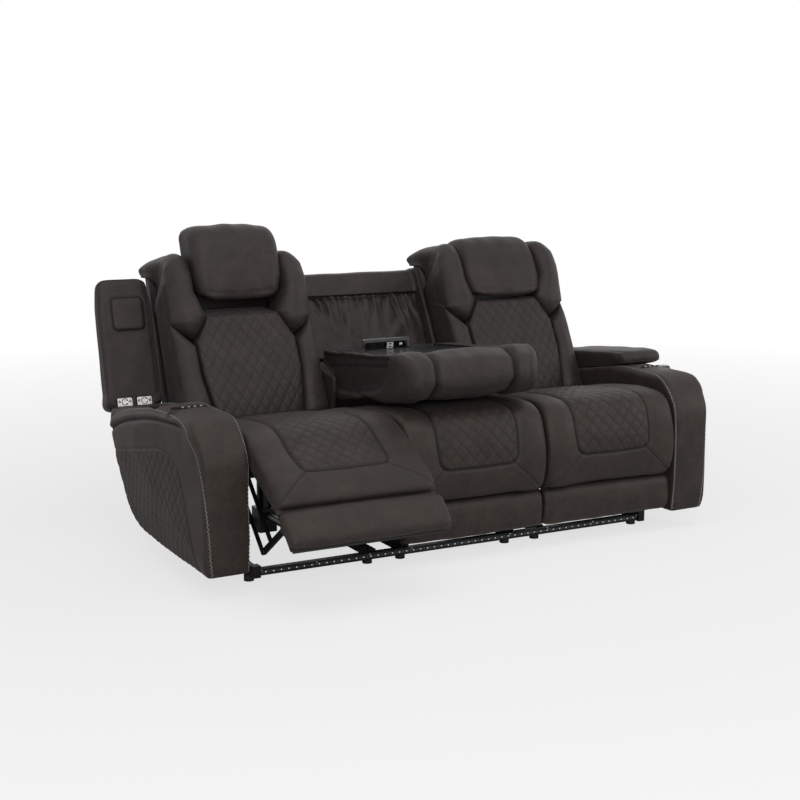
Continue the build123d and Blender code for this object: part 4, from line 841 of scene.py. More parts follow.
QUILT_LINE = [(650, 864), (607, 770), (574, 710), (537, 640), (504, 575), (482, 520), (476, 482),
              (492, 457)]
BOLSTER_LINE = [(652, 858), (628, 818), (598, 772), (560, 700), (518, 610), (484, 545), (470, 500),
                (486, 454)]
WING_LINE = [(960, 987), (980, 1002), (985, 1022), (972, 1046), (925, 1066), (860, 1082), (800, 1093),
             (752, 1090), (716, 1066), (686, 1022), (660, 966), (640, 905), (622, 845), (613, 800),
             (613, 772)]
HEAD_LINE = [(880, 1050), (866, 1079), (838, 1093), (790, 1097), (752, 1083), (716, 1049), (684, 1001),
             (656, 950), (637, 908), (633, 886), (647, 873)]
HEAD_TILT = ((735.0, 905.0), 15.24)   # where the raised headrest turns, and by how much
HEAD_RISE = 70.0


def quilt_half(y, z):
    """Half the width of a back's quilted middle."""
    return np.interp(z, [450, 560, 660, 768, 868], [168, 182, 198, 199, 141])


def back_quilt(name, x, seed):
    """The quilted middle of a back."""
    q = bpy.context.scene.sofa_quilting
    inner = [(frame_y(866) - 1, 866), (frame_y(456) - 1, 456)]

    def relief(a, s, y, z):
        h, mark = quilting(a, z, q.back_width, q.back_height, q.depth)
        return h + 7 * arch(a, 200) + ripple(a, s, seed, 130, 1.5), mark
    return pillow(name, QUILT_LINE, inner, both(quilt_half), edge=24, fall=13, end_edge=22, relief=relief,
                  place=shifted(x), tuck=1.0)


def back_bolster(name, x, hand, seed):
    """A lower side bolster, full over its whole height and creased where the wing meets it."""
    inner = [(frame_y(852) - 1, 852), (frame_y(450) - 1, 450)]

    def near_x(y, z):
        return np.interp(z, [450, 560, 660, 764, 842], [172, 186, 202, 204, 276])

    def relief(a, s, y, z):
        lift = ripple(a, s, seed, 110, 2.2)
        lift = lift - 3.0 * dip(near(a * hand, z, [(212, 790), (262, 838)]), 9)
        lift = lift - 2.2 * dip(near(a * hand, z, [(214, 560), (262, 535)]), 8)
        return lift, 0 * a
    return pillow(name, BOLSTER_LINE, inner, edge=46, fall=34, end_edge=34, relief=relief, place=shifted(x),
                  tuck=3.0, **handed(hand, near_x, lambda y, z: 285.0, 1.6))


def back_wing(name, x, hand, seed):
    """An upper wing: full at its tip, drawn back at its outer edge and lipped over the frame."""
    inner = [(944, 987), (frame_y(987), 987), (frame_y(770) - 1, 770)]

    def near_x(y, z):
        return np.interp(z, [768, 868, 960], [200, 144, 180])

    def far_x(y, z):
        lip = 17 * ease(y, 820, 960)
        return np.interp(z, [768, 800, 846, 1000, 1060, 1090], [209, 240, 284, 287, 281, 268]) + lip

    def relief(a, s, y, z):
        lift = ripple(a, s, seed, 120, 2.4)
        return lift + 6 * dip(near(a * hand, z, [(232, 810), (226, 900), (215, 1000)]), 44), 0 * a
    return pillow(name, WING_LINE, inner, edge=56, fall=46, end_edge=26, end_fall=12, relief=relief,
                  place=shifted(x), tuck=3.0, **handed(hand, near_x, far_x, 1.9))


def back_shell(name, x):
    """The smooth outside of a back, stretched over its board."""
    outer = [(758, 442), (850, 712), (943, 984)]
    inner = [(frame_y(442), 442), (frame_y(984), 984)]

    def relief(a, s, y, z):
        welt = near(np.abs(a), s, [(262, 0), (262, 700)])
        return ripple(a, s, 40, 240, 1.2) - 1.4 * dip(welt, 3), dip(welt, 2.0) * 0.6
    return pillow(name, outer, inner, (-290.0, 290.0), edge=16, fall=12, end_edge=12, relief=relief,
                  place=shifted(x), step=7)


def headrest(name, x, raised, seed):
    """A headrest pillow, dented above its foot."""
    inner = [(868, 1044), (790, 930), (706, 874)]
    place = shifted(x, (HEAD_TILT,), HEAD_RISE) if raised else shifted(x)

    def half(y, z):
        return np.interp(z, [872, 905, 960, 1060], [146, 162, 176, 179])   # narrower at its foot

    def relief(a, s, y, z):
        lift = 12 * arch(a, 175) + ripple(a, s, seed, 120, 2.0)
        return lift - 2.0 * dip(near(a, z, [(-120, 905), (0, 893), (120, 905)]), 9), 0 * a
    return pillow(name, HEAD_LINE, inner, both(half), edge=48, fall=36, end_edge=30, end_fall=13,
                  relief=relief, place=place, tuck=3.0, step=4.2)


class SOFA_OT_backs(Operator):
    """Makes each back's quilted centre, lower bolsters, wings and outside shell"""
    bl_idname = "sofa.backs"
    bl_label = "Backs"

    def execute(self, context):
        for number, (side, sign) in enumerate(SIDES):
            x, body = sign * SEAT_X, f"{side}_back"
            finished(back_quilt(f"{side}_back_quilting", x, 50 + number), "leather", body,
                     instead=(f"{side}_back_quilt",))
            for hand in (-1, 1):
                tag = f"{side}_{'inner' if hand * sign < 0 else 'outer'}"
                bolster = back_bolster(f"{tag}_bolster", x, hand, 60 + number * 4 + hand)
                finished(bolster, "leather", body)
                wing = back_wing(f"{tag}_wing", x, hand, 70 + number * 4 + hand)
                finished(wing, "leather", body, instead=(f"{side}_back_bolsters",))
            finished(back_shell(f"{side}_back_shell", x), "leather", body,
                     instead=(f"{side}_back_frame",))
            arms = part_of(f"{side}_back_arms", f"{side}_back_frame",
                           lambda p: (p[:, 2] < 472) & (np.abs(np.abs(p[:, 0] - x) - 271) < 4))
            finished(arms, "frame_steel", body)
        return {"FINISHED"}


class SOFA_OT_headrests(Operator):
    """Makes the two headrest pillows, the left one raised and tilted"""
    bl_idname = "sofa.headrests"
    bl_label = "Headrests"

    def execute(self, context):
        for side, sign in SIDES:
            cover = headrest(f"{side}_headrest_cover", sign * SEAT_X, side == "left", 80 + sign)
            finished(cover, "leather", f"{side}_headrest_pillow",
                     instead=(f"{side}_headrest",))
        return {"FINISHED"}


# ------------------------------------------------------------------ arms
ARM_X, STORE_X, LID_X = 990, 992, 1002   # centres of the bezel, of the storage and of the lid
BEZEL = (ARM_X, 158, 68, 20.5)           # the bezel's centre and half sizes
BEZEL_PROUD = 2.4                        # how far it stands out of the leather
TOP_Z = 560                              # the arm's top lies above this
STITCH_LINE = [(1020, -109, 86), (1026, -115, 150), (1030, -118, 206), (1035, -117, 271), (1040, -113, 335),
               (1046, -97, 418), (1049, -75, 471), (1051, -58, 499), (1053, -34, 530), (1056, -2, 563),
               (1060, 55, 586), (1059, 120, 590), (1060, 200, 591), (1063, 280, 588), (1071, 377, 578),
               (1085, 500, 555), (1097, 620, 524), (1103, 701, 492), (1104, 716, 484)]
CREASE_LINE = [(716, 445), (663, 469), (582, 497), (491, 521), (358, 548), (249, 562), (154, 566), (64, 567),
               (16, 556)]
SIDE_QUILT = [(720, 368), (646, 386), (503, 414), (391, 435), (304, 452), (220, 464), (160, 457), (121, 444),
              (83, 418), (60, 387), (39, 335), (18, 286), (-11, 205), (-34, 132), (-40, 98), (-42, 60)]
INNER_LINE = [(886, -109, 88), (886, -118, 200), (886, -118, 405), (887, -104, 496), (888, -79, 537),
              (890, -50, 566), (894, -5, 590), (899, 40, 600), (903, 110, 606), (906, 190, 605),
              (908, 300, 592), (910, 420, 573), (912, 560, 549), (914, 690, 527)]


def arm_cover(side, sign):
    """The padded arm: roll and crease along its top, plain bands and a quilted side."""
    q = bpy.context.scene.sofa_quilting
    piece = evenly_meshed(f"{side}_arm_cover", f"{side}_arm_body", 4.3)

    def firm(p):
        across, y, z = np.abs(p[:, 0]), p[:, 1], p[:, 2]
        bezel = (np.abs(across - ARM_X) < 74) & (np.abs(y - BEZEL[1]) < 26) & (z > TOP_Z)
        store = (np.abs(y - 470) < 176) & (np.abs(across - STORE_X) < 71) & (z > 400)
        hinge = (y > 674) & (np.abs(across - LID_X) < 60) & (z > 505)
        return np.where(bezel | store | hinge, 0.92, 0.0)
    softened(piece, 18, firm)
    p, n = read_points(piece)
    across, y, z = np.abs(p[:, 0]), p[:, 1], p[:, 2]
    outward = n[:, 0] * sign
    side_face = ease(outward, 0.25, 0.7) * (across > 1000) * ease(y, -108, -80)
    quilt_line = through(SIDE_QUILT)
    quilt_edge = near(y, z, quilt_line)
    within = inside(y, z, [*quilt_line, (-42, 0), (900, 0), (900, 372)])   # down to the floor and to the rear
    h, mark = quilting(y, z, q.back_width, 62.0, q.depth)
    crease = near(y, z, through(CREASE_LINE))
    above = z > np.interp(y, *zip(*CREASE_LINE[::-1]))
    tail = ease(y, 20, 90)
    lift = side_face * within * ease(quilt_edge, 2, 10) * (h + 2.0)
    lift -= side_face * 2.2 * dip(quilt_edge, 4)
    lift -= side_face * tail * 8.0 * dip(crease, 7.0)
    lift += side_face * above * tail * 3.5 * dip(crease - 16, 12)
    # Painted shade: the crease under the roll is marked strongly, so the leather darkens in it.
    seam = side_face * (within * mark * 0.5 * ease(quilt_edge, 3, 10) + dip(quilt_edge, 2.4) * 0.35
                        + tail * 1.6 * dip(crease, 5.0))
    stitch = through(STITCH_LINE)
    gap = np.min(np.linalg.norm(np.stack([across, y, z], -1)[:, None] - stitch[None, ::3], axis=2), axis=1)
    lift -= 1.6 * dip(gap, 4.5)
    seam = seam + 0.35 * dip(gap, 3.0)
    lift += 9.0 * dip(np.hypot(y + 31, z - 549), 46) * (across > 900)
    lift += ripple(y, z + across, 90 + sign, 190, 1.5) * (1 - firm(p))
    lift += 2.5 * ease(-n[:, 1], 0.6, 0.95) * swell(across - 885, 150) * (z < TOP_Z)
    padded = p + n * (lift * (1 - firm(p)))[:, None]
    return write_points(piece, round_bezel(padded, p, n), np.clip(seam, 0, 1))


def round_bezel(padded, before, normals):
    """Sinks an arm's leather under its control bezel, and lifts it to the bezel's rim all round."""
    p = padded.copy()
    across, y, z = np.abs(before[:, 0]), before[:, 1], before[:, 2]
    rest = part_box("control_bezels")[1].z * 1000 - BEZEL_PROUD
    x0, y0, half_x, half_y = BEZEL
    oval = [(x0 + half_x * math.cos(a), y0 + half_y * math.sin(a)) for a in np.linspace(0, 2 * math.pi, 49)]
    within = inside(across, y, oval)
    over = (z > TOP_Z) & (normals[:, 2] > 0.3)
    p[:, 2] = np.where(over & within, np.minimum(p[:, 2], rest), p[:, 2])
    rise = np.maximum(rest + 0.6 - p[:, 2], 0) * (1 - ease(near(across, y, oval), 1, 15))
    p[:, 2] += np.where(over & ~within, rise, 0)
    return p


def cross_stitches(name, surface, line, sign, body):
    """Slanted pairs of short threads along a seam."""
    trim = bpy.context.scene.sofa_trim
    smooth = through(line)
    count = int(lengths(smooth)[-1] / (trim.stitch * 0.9))
    half = np.array([trim.stitch * 0.62, 0.75, 0.55])
    marks = even(smooth, count * 2 + 1)
    marks[:, 0] *= sign
    on, up = laid_on(surface, marks, 0.5)
    places = []
    for i in range(count):
        centre, normal = on[2 * i + 1], np.array(up[2 * i + 1])
        along = on[2 * i + 2] - on[2 * i]
        along /= max(np.linalg.norm(along), 1e-6)
        across = np.cross(normal, along)
        slant = along + across * (0.75 if i % 2 else -0.75)
        slant /= np.linalg.norm(slant)
        axes = np.array([slant, np.cross(normal, slant), normal])
        places.append((centre, half, axes))
    return boxes(name, places, "thread", body)


def piping(name, surface, line, proud, radius, body):
    """A piping cord laid on a surface."""
    return tube(name, laid_on(surface, line, proud)[0], radius, "piping", body)


class SOFA_OT_arms(Operator):
    """Makes the padded arms with their quilted sides, contrast stitching and piping"""
    bl_idname = "sofa.arms"
    bl_label = "Arms"

    def execute(self, context):
        radius = context.scene.sofa_trim.piping
        for side, sign in SIDES:
            cover = arm_cover(side, sign)
            finished(cover, "warm", "base", instead=(f"{side}_arm_body",))
            surface = surface_of(cover)
            cross_stitches(f"{side}_arm_stitching", surface, STITCH_LINE, sign, "base")
            cross_stitches(f"{side}_arm_inner_stitching", surface, INNER_LINE, sign, "base")
            for name, seam in (("outer", STITCH_LINE), ("inner", INNER_LINE)):
                line = even(through(seam), 170) * (sign, 1, 1)
                piping(f"{side}_arm_{name}_piping", surface, line, -radius * 0.55, radius, "base")
        return {"FINISHED"}


# ------------------------------------------------------------------ arm lids
LID_HINGE = (715.0, 529.3)
LID_SLOPE = math.atan(0.17)
LID_LONG = 488.0
LID_HALF = 102      # half a lid's width
LID_CORNER = 36
LID_OPEN = 96.0     # degrees that the left one stands open
LID_PAD = (63, 63, 22, 348.0)   # half sizes, corner and centre of the pad sewn on below
CUP_U, CUPS_V, CUP_RADIUS = 18, (-38, 38), 11.5   # u runs from the hinge along a lid, v across it
SCREWS_V, SCREW_RADIUS = (-59, -17, 17, 59), 3.2


def lid_place(side, sign):
    """From a lid's own lengths (along it, across it, out of its top) to the sofa, as it rests."""
    def move(points):
        p = np.atleast_2d(np.asarray(points, float))
        y = LID_HINGE[0] - p[:, 0] * math.cos(LID_SLOPE) + p[:, 2] * math.sin(LID_SLOPE)
        z = LID_HINGE[1] + p[:, 0] * math.sin(LID_SLOPE) + p[:, 2] * math.cos(LID_SLOPE)
        yz = np.stack([y, z], -1)
        if side == "left":
            yz = spin(yz, LID_HINGE, -LID_OPEN)
        return np.stack([sign * (LID_X + p[:, 1]), yz[:, 0], yz[:, 1]], -1)
    return move


def lid_lengths(p, side):
    """The reverse: places on the sofa to the lid's own lengths."""
    yz = spin(p[:, 1:], LID_HINGE, LID_OPEN) if side == "left" else p[:, 1:]
    dy, dz = yz[:, 0] - LID_HINGE[0], yz[:, 1] - LID_HINGE[1]
    return (-dy * math.cos(LID_SLOPE) + dz * math.sin(LID_SLOPE), np.abs(p[:, 0]) - LID_X,
            dy * math.sin(LID_SLOPE) + dz * math.cos(LID_SLOPE))


def rounded_square(half_u, half_v, radius, centre):
    """The outline of a square with round corners, its centre that far along the lid."""
    corners = []
    for su, sv, start in ((1, 1, 0), (-1, 1, 90), (-1, -1, 180), (1, -1, 270)):
        for step in range(0, 91, 15):
            a = math.radians(start + step)
            corners.append((centre + su * (half_u - radius) + radius * math.cos(a),
                            sv * (half_v - radius) + radius * math.sin(a)))
    return corners + corners[:1]


def lid_cover(side, sign):
    """A lid's cover: domed above, with a rim seam and a round-cornered pad sewn on below."""
    piece = evenly_meshed(f"{side}_lid_cover", f"{side}_arm_lid", 4.2)

    def firm(p):
        u, v, w = lid_lengths(p, side)
        return np.where((u < 36) & (w < 14), 0.9, 0.0)
    softened(piece, 12, firm)
    softened(piece, 120, lambda p: 1 - ease(lid_lengths(p, side)[0], 370, 450))
    p, n = read_points(piece)
    u, v, w = lid_lengths(p, side)
    pad = near(u, v + 10, rounded_square(*LID_PAD))
    below = w < 6
    lift = 4.0 * (w > 20) * arch(v, LID_HALF) * swell(u, LID_LONG)
    lift += ripple(u, v, 110 + sign, 130, 1.4)
    lift += 4.0 * ease(-np.sign(p[:, 0]) * n[:, 0], 0.5, 0.9) * (v < -70)
    lift -= below * 3.0 * dip(pad, 6.0)
    rim = near(u, v, rounded_square(LID_LONG / 2, LID_HALF, LID_CORNER, LID_LONG / 2)) - 9
    lift -= below * 1.8 * dip(rim, 5.0)
    seam = below * (dip(pad, 4.2) * 0.95 + dip(rim, 3.5) * 0.4)
    p = p + n * (lift * (1 - firm(p)))[:, None]
    foot = (1 - ease(u, 4, 60)) * ease(w, 10, 26) * 15.0
    along = np.diff(lid_place(side, sign)([(0, 0, 0), (1, 0, 0)]), axis=0)
    p = p - along * foot[:, None]
    p[:, 0] += sign * np.sign(v) * 9.0 * (1 - ease(u, 14, 60)) * ease(np.abs(v), 50, 96)
    return write_points(piece, p, seam)


def hinge_rings(side, sign):
    """The round cup and the screws pressed into each hinge plate of a lid."""
    surface = surface_of(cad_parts[f"{side}_lid_hinges"])
    turn = np.linspace(0, 2 * math.pi, 25)
    rings = [(v, CUP_RADIUS) for v in CUPS_V] + [(v, SCREW_RADIUS) for v in SCREWS_V]
    for number, (v, radius) in enumerate(rings):
        ring = np.stack([CUP_U + radius * np.sin(turn), v + radius * np.cos(turn), 0 * turn], -1)
        on, _ = laid_on(surface, lid_place(side, sign)(ring), 0.3)
        tube(f"{side}_hinge_ring_{number}", on, 1.5, "link_steel", f"{side}_lid")


class SOFA_OT_lids(Operator):
    """Makes the padded lids of the arms' storage, with their rim piping and hinges"""
    bl_idname = "sofa.lids"
    bl_label = "Arm lids"

    def execute(self, context):
        for side, sign in SIDES:
            cover = lid_cover(side, sign)
            finished(cover, "leather", f"{side}_lid", instead=(f"{side}_arm_lid",))
            rim = rounded_square(LID_LONG / 2, LID_HALF - 0.5, LID_CORNER, LID_LONG / 2)
            line = even(lid_place(side, sign)([(u, v, 7.0) for u, v in rim]), 220)
            piping(f"{side}_lid_piping", surface_of(cover), line, 0.6, 1.9, f"{side}_lid")
            hinge_rings(side, sign)
        return {"FINISHED"}


# ------------------------------------------------------------------ console
CONSOLE_PIVOT = (520.0, 562.0)
TILT = 4.9                       # degrees that the folded console rises to the front
POWER_PIVOT = (602.0, 694.5)
POWER_OPEN = 74.0
ROLL_X = 163                     # the channels between the three rolls of its front end
CONSOLE_HALF = 270
TABLE_HALF = 238                 # half the width of the table's opening
WING_HOOK = [(48, 772), (70, 735), (84, 676), (113, 643), (150, 621), (230, 602), (285, 594), (304, 584),
             (288, 569), (213, 563), (89, 569), (-31, 580)]
SIDE_BAND = [(582, 647), (363, 674), (88, 707)]


def console_lengths(p):
    """Places on the console as lengths along it from its pivot and up from it."""
    q = spin(p[:, 1:], CONSOLE_PIVOT, TILT)
    return CONSOLE_PIVOT[0] - q[:, 0], q[:, 1] - CONSOLE_PIVOT[1]


def console_cover():
    """The folded middle back: three bulges at its front end, a border round the table."""
    piece = evenly_meshed("console_cover", "console_cushion", 5.0)

    def firm(p):
        along, up = console_lengths(p)
        across = np.abs(p[:, 0])
        well = (across < TABLE_HALF - 2) & (along < 466) & (along > -112) & (up > 74)
        pivot = (across > TABLE_HALF + 2) & (np.hypot(along, up) < 14)
        return np.where(well | pivot, 0.93, 0.0)
    softened(piece, 10, firm)

    def rear(p):
        along, up = console_lengths(p)
        return np.maximum(firm(p), 1 - ease(along, 440, 500))
    softened(piece, 46, rear)
    p, n = read_points(piece)
    along, up = console_lengths(p)
    x, y, z = p.T
    across = np.abs(x)
    front = ease(along, 440, 500)
    channel = np.abs(across - ROLL_X)
    rolls = np.where(across < ROLL_X, arch(x, ROLL_X), swell(across - ROLL_X, CONSOLE_HALF - ROLL_X))
    lift = 4.0 * front - 13.0 * front * dip(channel, 12) + front * 9.0 * rolls ** 0.7
    side_face = ease(np.abs(n[:, 0]), 0.12, 0.5) * (across > 218)
    hook = through(WING_HOOK)
    past = near(y, z, hook)
    panel = inside(y, z, [*hook, (640, 560), (640, 790), (40, 790)])
    lift += side_face * np.where(panel, -12.0 * ease(past, 0, 14), 8.0 * ease(past, 0, 22))
    lift -= side_face * 7.0 * dip(past, 7)
    band = near(y, z, SIDE_BAND)
    lift -= side_face * 3.0 * dip(band, 5)
    below = ease(-n[:, 2], 0.3, 0.8)
    lift += below * 3.0 * swell(along, 620)
    border = (across > TABLE_HALF) & (up > 120) & (along < 470)
    lift += border * 3.0 * ease(n[:, 2], 0.4, 0.9) * swell(across - TABLE_HALF, CONSOLE_HALF - TABLE_HALF)
    lift += ripple(x, along, 130, 110, 3.0)
    on_top = ease(n[:, 2], 0.3, 0.8) * front
    wing_seam = near(across, along, [(262, 470), (214, 500), (188, 560), (176, 600)])
    head_seam = near(across, along, [(0, 500), (150, 500), (172, 478), (238, 470)])
    lift -= on_top * (2.5 * dip(wing_seam, 5) + 3.0 * dip(head_seam, 6))
    # Painted shade: besides the seams, the mark darkens along the wing's hook and faintly over the whole hollow
    # panel below it.
    seam = front * dip(channel, 7.5) + side_face * (1.4 * dip(past, 8.0) + dip(band, 5.0) + 0.35 * panel)
    seam = seam + on_top * (dip(wing_seam, 3.0) * 0.6 + dip(head_seam, 3.2) * 0.7)
    return write_points(piece, p + n * (lift * (1 - firm(p)))[:, None], np.clip(seam, 0, 1))


def power_place(points):
    """From the shut power panel's lengths (x, towards the front, up) to where it stands open."""
    p = np.atleast_2d(np.asarray(points, float))
    yz = np.stack([POWER_PIVOT[0] - p[:, 1], POWER_PIVOT[1] + p[:, 2]], -1)
    yz = spin(spin(yz, POWER_PIVOT, -POWER_OPEN), CONSOLE_PIVOT, -TILT)
    return np.stack([p[:, 0], yz[:, 0], yz[:, 1]], -1)


def power_block(x, along, half_x, half_along, depth, thick):
    """A thin block on the raised panel's face."""
    centre, *steps = power_place([(x, along, depth), (x + 1, along, depth), (x, along + 1, depth),
                                  (x, along, depth + 1)])
    return centre, np.array([half_x, half_along, thick]), np.array([step - centre for step in steps])


class SOFA_OT_console(Operator):
    """Makes the folded console's cushion and finishes its table, cups and power panel"""
    bl_idname = "sofa.console"
    bl_label = "Console"

    def execute(self, context):
        finished(console_cover(), "leather", "console", instead=("console_cushion",))
        for node, material in (("console_tray", "tray"), ("console_cup_holders", "cup"),
                               ("console_power_panel", "silver"), ("console_hinge_brackets", "frame_steel")):
            wear(node, material)
        ports = [power_block(17, 20, 14, 12.5, -4.9, 0.35)]
        # Painted light: the power panel's printed marks glow though they are no lamps.
        marks = [power_block(x, 24, 1.6, 4.2, -4.9, 0.35) for x in (62, 69)]
        # Painted shade: thin dark blocks stand for the shade inside the port openings.
        shaded_wells = [power_block(17, v, 6, 2.2, -5.1, 0.4) for v in (14, 26)]
        shaded_wells += [power_block(x, 20, 15, 11, -4.9, 0.5) for x in (-62, -24)]
        for name, places, material in (("face", [power_block(0, 20.5, 91.0, 16.0, -3.9, 0.7)], "gloss"),
                                       ("ports", ports, "stub"), ("marks", marks, "mark"),
                                       ("port_openings_shade", shaded_wells, "tray")):
            boxes(f"power_{name}", places, material, "power_panel")
        return {"FINISHED"}


# ------------------------------------------------------------------ recess
RECESS_HALF = 277.0
WALL_X = 281                     # where the piping runs down the recess's side walls
RAIL_Z = 882                     # the lower edge of the rail over the recess
RECESS_EDGE = [(884, 986), (800, 830), (722, 686), (690, 660), (652, 641)]


def recess_y(z):
    """A plane just in front of the gathered cover, at a height."""
    return 915 + 0.53 * (z - 968)


def gathered_panel():
    """The gathered cover behind the console: uneven tucks held by a sagging seam, loose below."""
    outer = [(recess_y(z) + 7, z) for z in (883, 860, 800, 740, 690, 643)]
    inner = [(recess_y(z) + 24, z) for z in (883, 643)]
    rng = np.random.default_rng(12)
    places = np.cumsum(rng.uniform(26, 58, 14)) - 288
    tucks = [(x, rng.uniform(-0.35, 0.35), rng.uniform(55, 190), rng.uniform(5, 10)) for x in places]

    def relief(x, s, y, z):
        lift = 7.0 * dip(z - 770, 70) + ripple(x, z, 150, 90, 3.2)
        seam = 0 * x
        for at_x, slant, reach, width in tucks:
            centre = at_x + slant * (878 - z) + 5 * np.sin(z / 37 + at_x)
            hold = ease(z, 870 - reach, 870)
            lift = lift - (3.0 + 7.5 * hold) * dip(x - centre, width + 8 * (1 - hold)) * ease(z, 660, 760)
            beside = x - centre - width * 2.1
            lift = lift + (2.5 + 5.5 * hold) * dip(beside, width * 1.2 + 10 * (1 - hold))
            # Painted shade: each tuck's fold is marked, so the leather darkens in it.
            seam = seam + hold * 0.5 * dip(x - centre, width * 0.6)
        for start, end in (((-262, 842), (-60, 700)), ((250, 850), (120, 706)), ((-150, 790), (10, 676))):
            lift = lift + wrinkle(x, z, start, end, 22, 6.0) - wrinkle(x, z - 30, start, end, 14, 4.0)
        top = near(x, z, [(-277, 884), (-130, 872), (0, 868), (130, 872), (277, 884)])
        return lift - 6.0 * dip(top, 6.0), np.clip(seam + 0.9 * dip(top, 3.2), 0, 1)
    return pillow("gathered_cover", outer, inner, (-RECESS_HALF, RECESS_HALF), edge=12, fall=8, end_edge=14,
                  relief=relief, place=shifted(0.0), rings=2, step=4.0)


def recess_cover():
    """The leather over the recess's side walls, rail and board."""
    piece = evenly_meshed("recess_cover", "middle_back_frame", 5.0)
    softened(piece, 7)
    p, n = read_points(piece)
    x, y, z = p.T
    rail = (z > RAIL_Z) & (np.abs(x) < 279)
    lift = ripple(x, z, 160, 150, 1.6)
    lift += rail * 5.0 * ease(-n[:, 1], 0.3, 0.8) * swell(z - 885, 84)
    welt = near(y, z, [(884, 984), (722, 684), (652, 640)])
    lift += (np.abs(x) > WALL_X) * 1.5 * dip(welt - 8, 6)
    return write_points(piece, p + n * lift[:, None], np.zeros(len(p)))


class SOFA_OT_recess(Operator):
    """Makes the recess behind the console: side walls, rail and gathered cover"""
    bl_idname = "sofa.recess"
    bl_label = "Recess"

    def execute(self, context):
        cover = recess_cover()
        finished(cover, "leather", "base", instead=("middle_back_frame",))
        gathered = gathered_panel()
        # Painted shade: the gathered cover is finished in the darker copy of the leather.
        finished(gathered, "slack", "base", instead=("middle_gathered_panel",))
        surface = surface_of(cover)
        for side, sign in SIDES:
            line = through([(sign * WALL_X, y, z) for y, z in RECESS_EDGE])
            piping(f"{side}_recess_piping", surface, even(line, 80), 0.8, 2.4, "base")
        return {"FINISHED"}


# ------------------------------------------------------------------ hard parts
def wear(node, material):
    """Gives a carried-over solid its finish."""
    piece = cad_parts[node]
    for place in piece.material_slots:
        place.material = finishes()[material]
    if not piece.material_slots:
        piece.data.materials.append(finishes()[material])


def studs(name, places, radius, height, material, body, sides=10):
    """Low domed discs such as lamp lenses and screw heads, each at a place facing a direction."""
    points, faces = [], []
    turns = [2 * math.pi * i / sides for i in range(sides)]
    for centre, facing in places:
        centre = np.asarray(centre)
        facing = np.asarray(facing, float) / np.linalg.norm(facing)
        a = np.cross(facing, (0.31, 0.2, 0.9))
        a /= np.linalg.norm(a)
        b = np.cross(facing, a)
        start = len(points)
        for r, h in ((1.0, 0.0), (1.0, 0.55), (0.72, 0.9)):
            points += [centre + radius * r * (math.cos(t) * a + math.sin(t) * b) + facing * height * h
                       for t in turns]
        points.append(centre + facing * height)
        rim, top = start + 2 * sides, start + 3 * sides
        faces += bands(start, 3, sides)
        faces += [[rim + i, rim + (i + 1) % sides, top] for i in range(sides)]
        faces.append([start + i for i in range(sides)])
    piece = faced_out(made(name, np.array(points), faces, smooth=False))
    return finished(piece, material, body)


class SOFA_OT_controls(Operator):
    """Finishes the control bezels and puts a printed mark, made to glow as painted light, on each button"""
    bl_idname = "sofa.controls"
    bl_label = "Controls"

    def execute(self, context):
        wear("control_bezels", "gloss")
        for side, sign in SIDES:
            for number in range(1, 5):
                node = f"{side}_button_{number}"
                wear(node, "plastic")
                low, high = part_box(node)
                centre = ((low + high) / 2) * 1000
                top = np.array((centre.x, centre.y - BAR_Y, high.z * 1000))
                bars = [(top, np.array([1.3, 4.4, 0.18]), np.eye(3)),
                        (top + (0, 2.2, 0), np.array([3.4, 1.2, 0.18]), np.eye(3))]
                boxes(f"{side}_button_mark_{number}", bars, "mark", node)
        return {"FINISHED"}


FIXED_WEAR = {"base_rails": "frame_steel", "mechanism_bases": "frame_steel", "light_bar": "frame_steel",
              "glides": "plastic", "arm_bins": "plastic", "recline_drives": "plastic",
              "light_strip": "diffuser", "middle_seat_deck": "board", "lid_hinge_arms": "chrome"}
SIDE_WEAR = {"rear_links": "link_steel", "front_links": "link_steel", "control_links": "link_steel",
             "headrest_carrier": "link_steel", "seat_deck": "board", "footrest_board": "board",
             "lid_hinges": "chrome"}
LAMPS_X, LAMPS_Z = (-783, 783), 43   # x of the light bar's first and last lamp, and their height
BAR_SCREWS_X, BAR_SCREWS_Z = (-800, -590, -380, -210, 210, 380, 590, 800), 50.5
BAR_FACE, FORWARD = -0.1, (0, -1, 0)


class SOFA_OT_base(Operator):
    """Finishes the floor frame, glides, light bar, linkages, decks and drives"""
    bl_idname = "sofa.base"
    bl_label = "Base and mechanism"

    def execute(self, context):
        for node, material in FIXED_WEAR.items():
            wear(node, material)
        for side, _ in SIDES:
            for part, material in SIDE_WEAR.items():
                wear(f"{side}_{part}", material)
        count = context.scene.sofa_trim.lamps
        first, last = LAMPS_X
        places = [first + (last - first) * i / max(count - 1, 1) for i in range(count)]
        lamps = [((x, BAR_FACE, LAMPS_Z), FORWARD) for x in places]
        studs("light_bar_lamps", lamps, 2.3, 1.1, "lamp", "base", 8)
        screws = [((x, BAR_FACE, BAR_SCREWS_Z), FORWARD) for x in BAR_SCREWS_X]
        studs("light_bar_screws", screws, 2.6, 1.2, "chrome", "base")
        for side, sign in SIDES:
            place = lid_place(side, sign)
            ends = [place([(u, v, 2.0), (u, v, 1.0)]) for v in SCREWS_V for u in (CUP_U - 10, CUP_U + 8)]
            screws = [(above, below - above) for above, below in ends]
            studs(f"{side}_hinge_screws", screws, 2.6, 1.1, "silver", f"{side}_lid")
        return {"FINISHED"}


# ------------------------------------------------------------------ stage
CAMERA = (-2641.1, -4479.8, 1495.2)
CAMERA_TILT, CAMERA_TURN = 80, -28   # degrees from straight down, and about the vertical
LENS, SENSOR = 65.32, 36.0


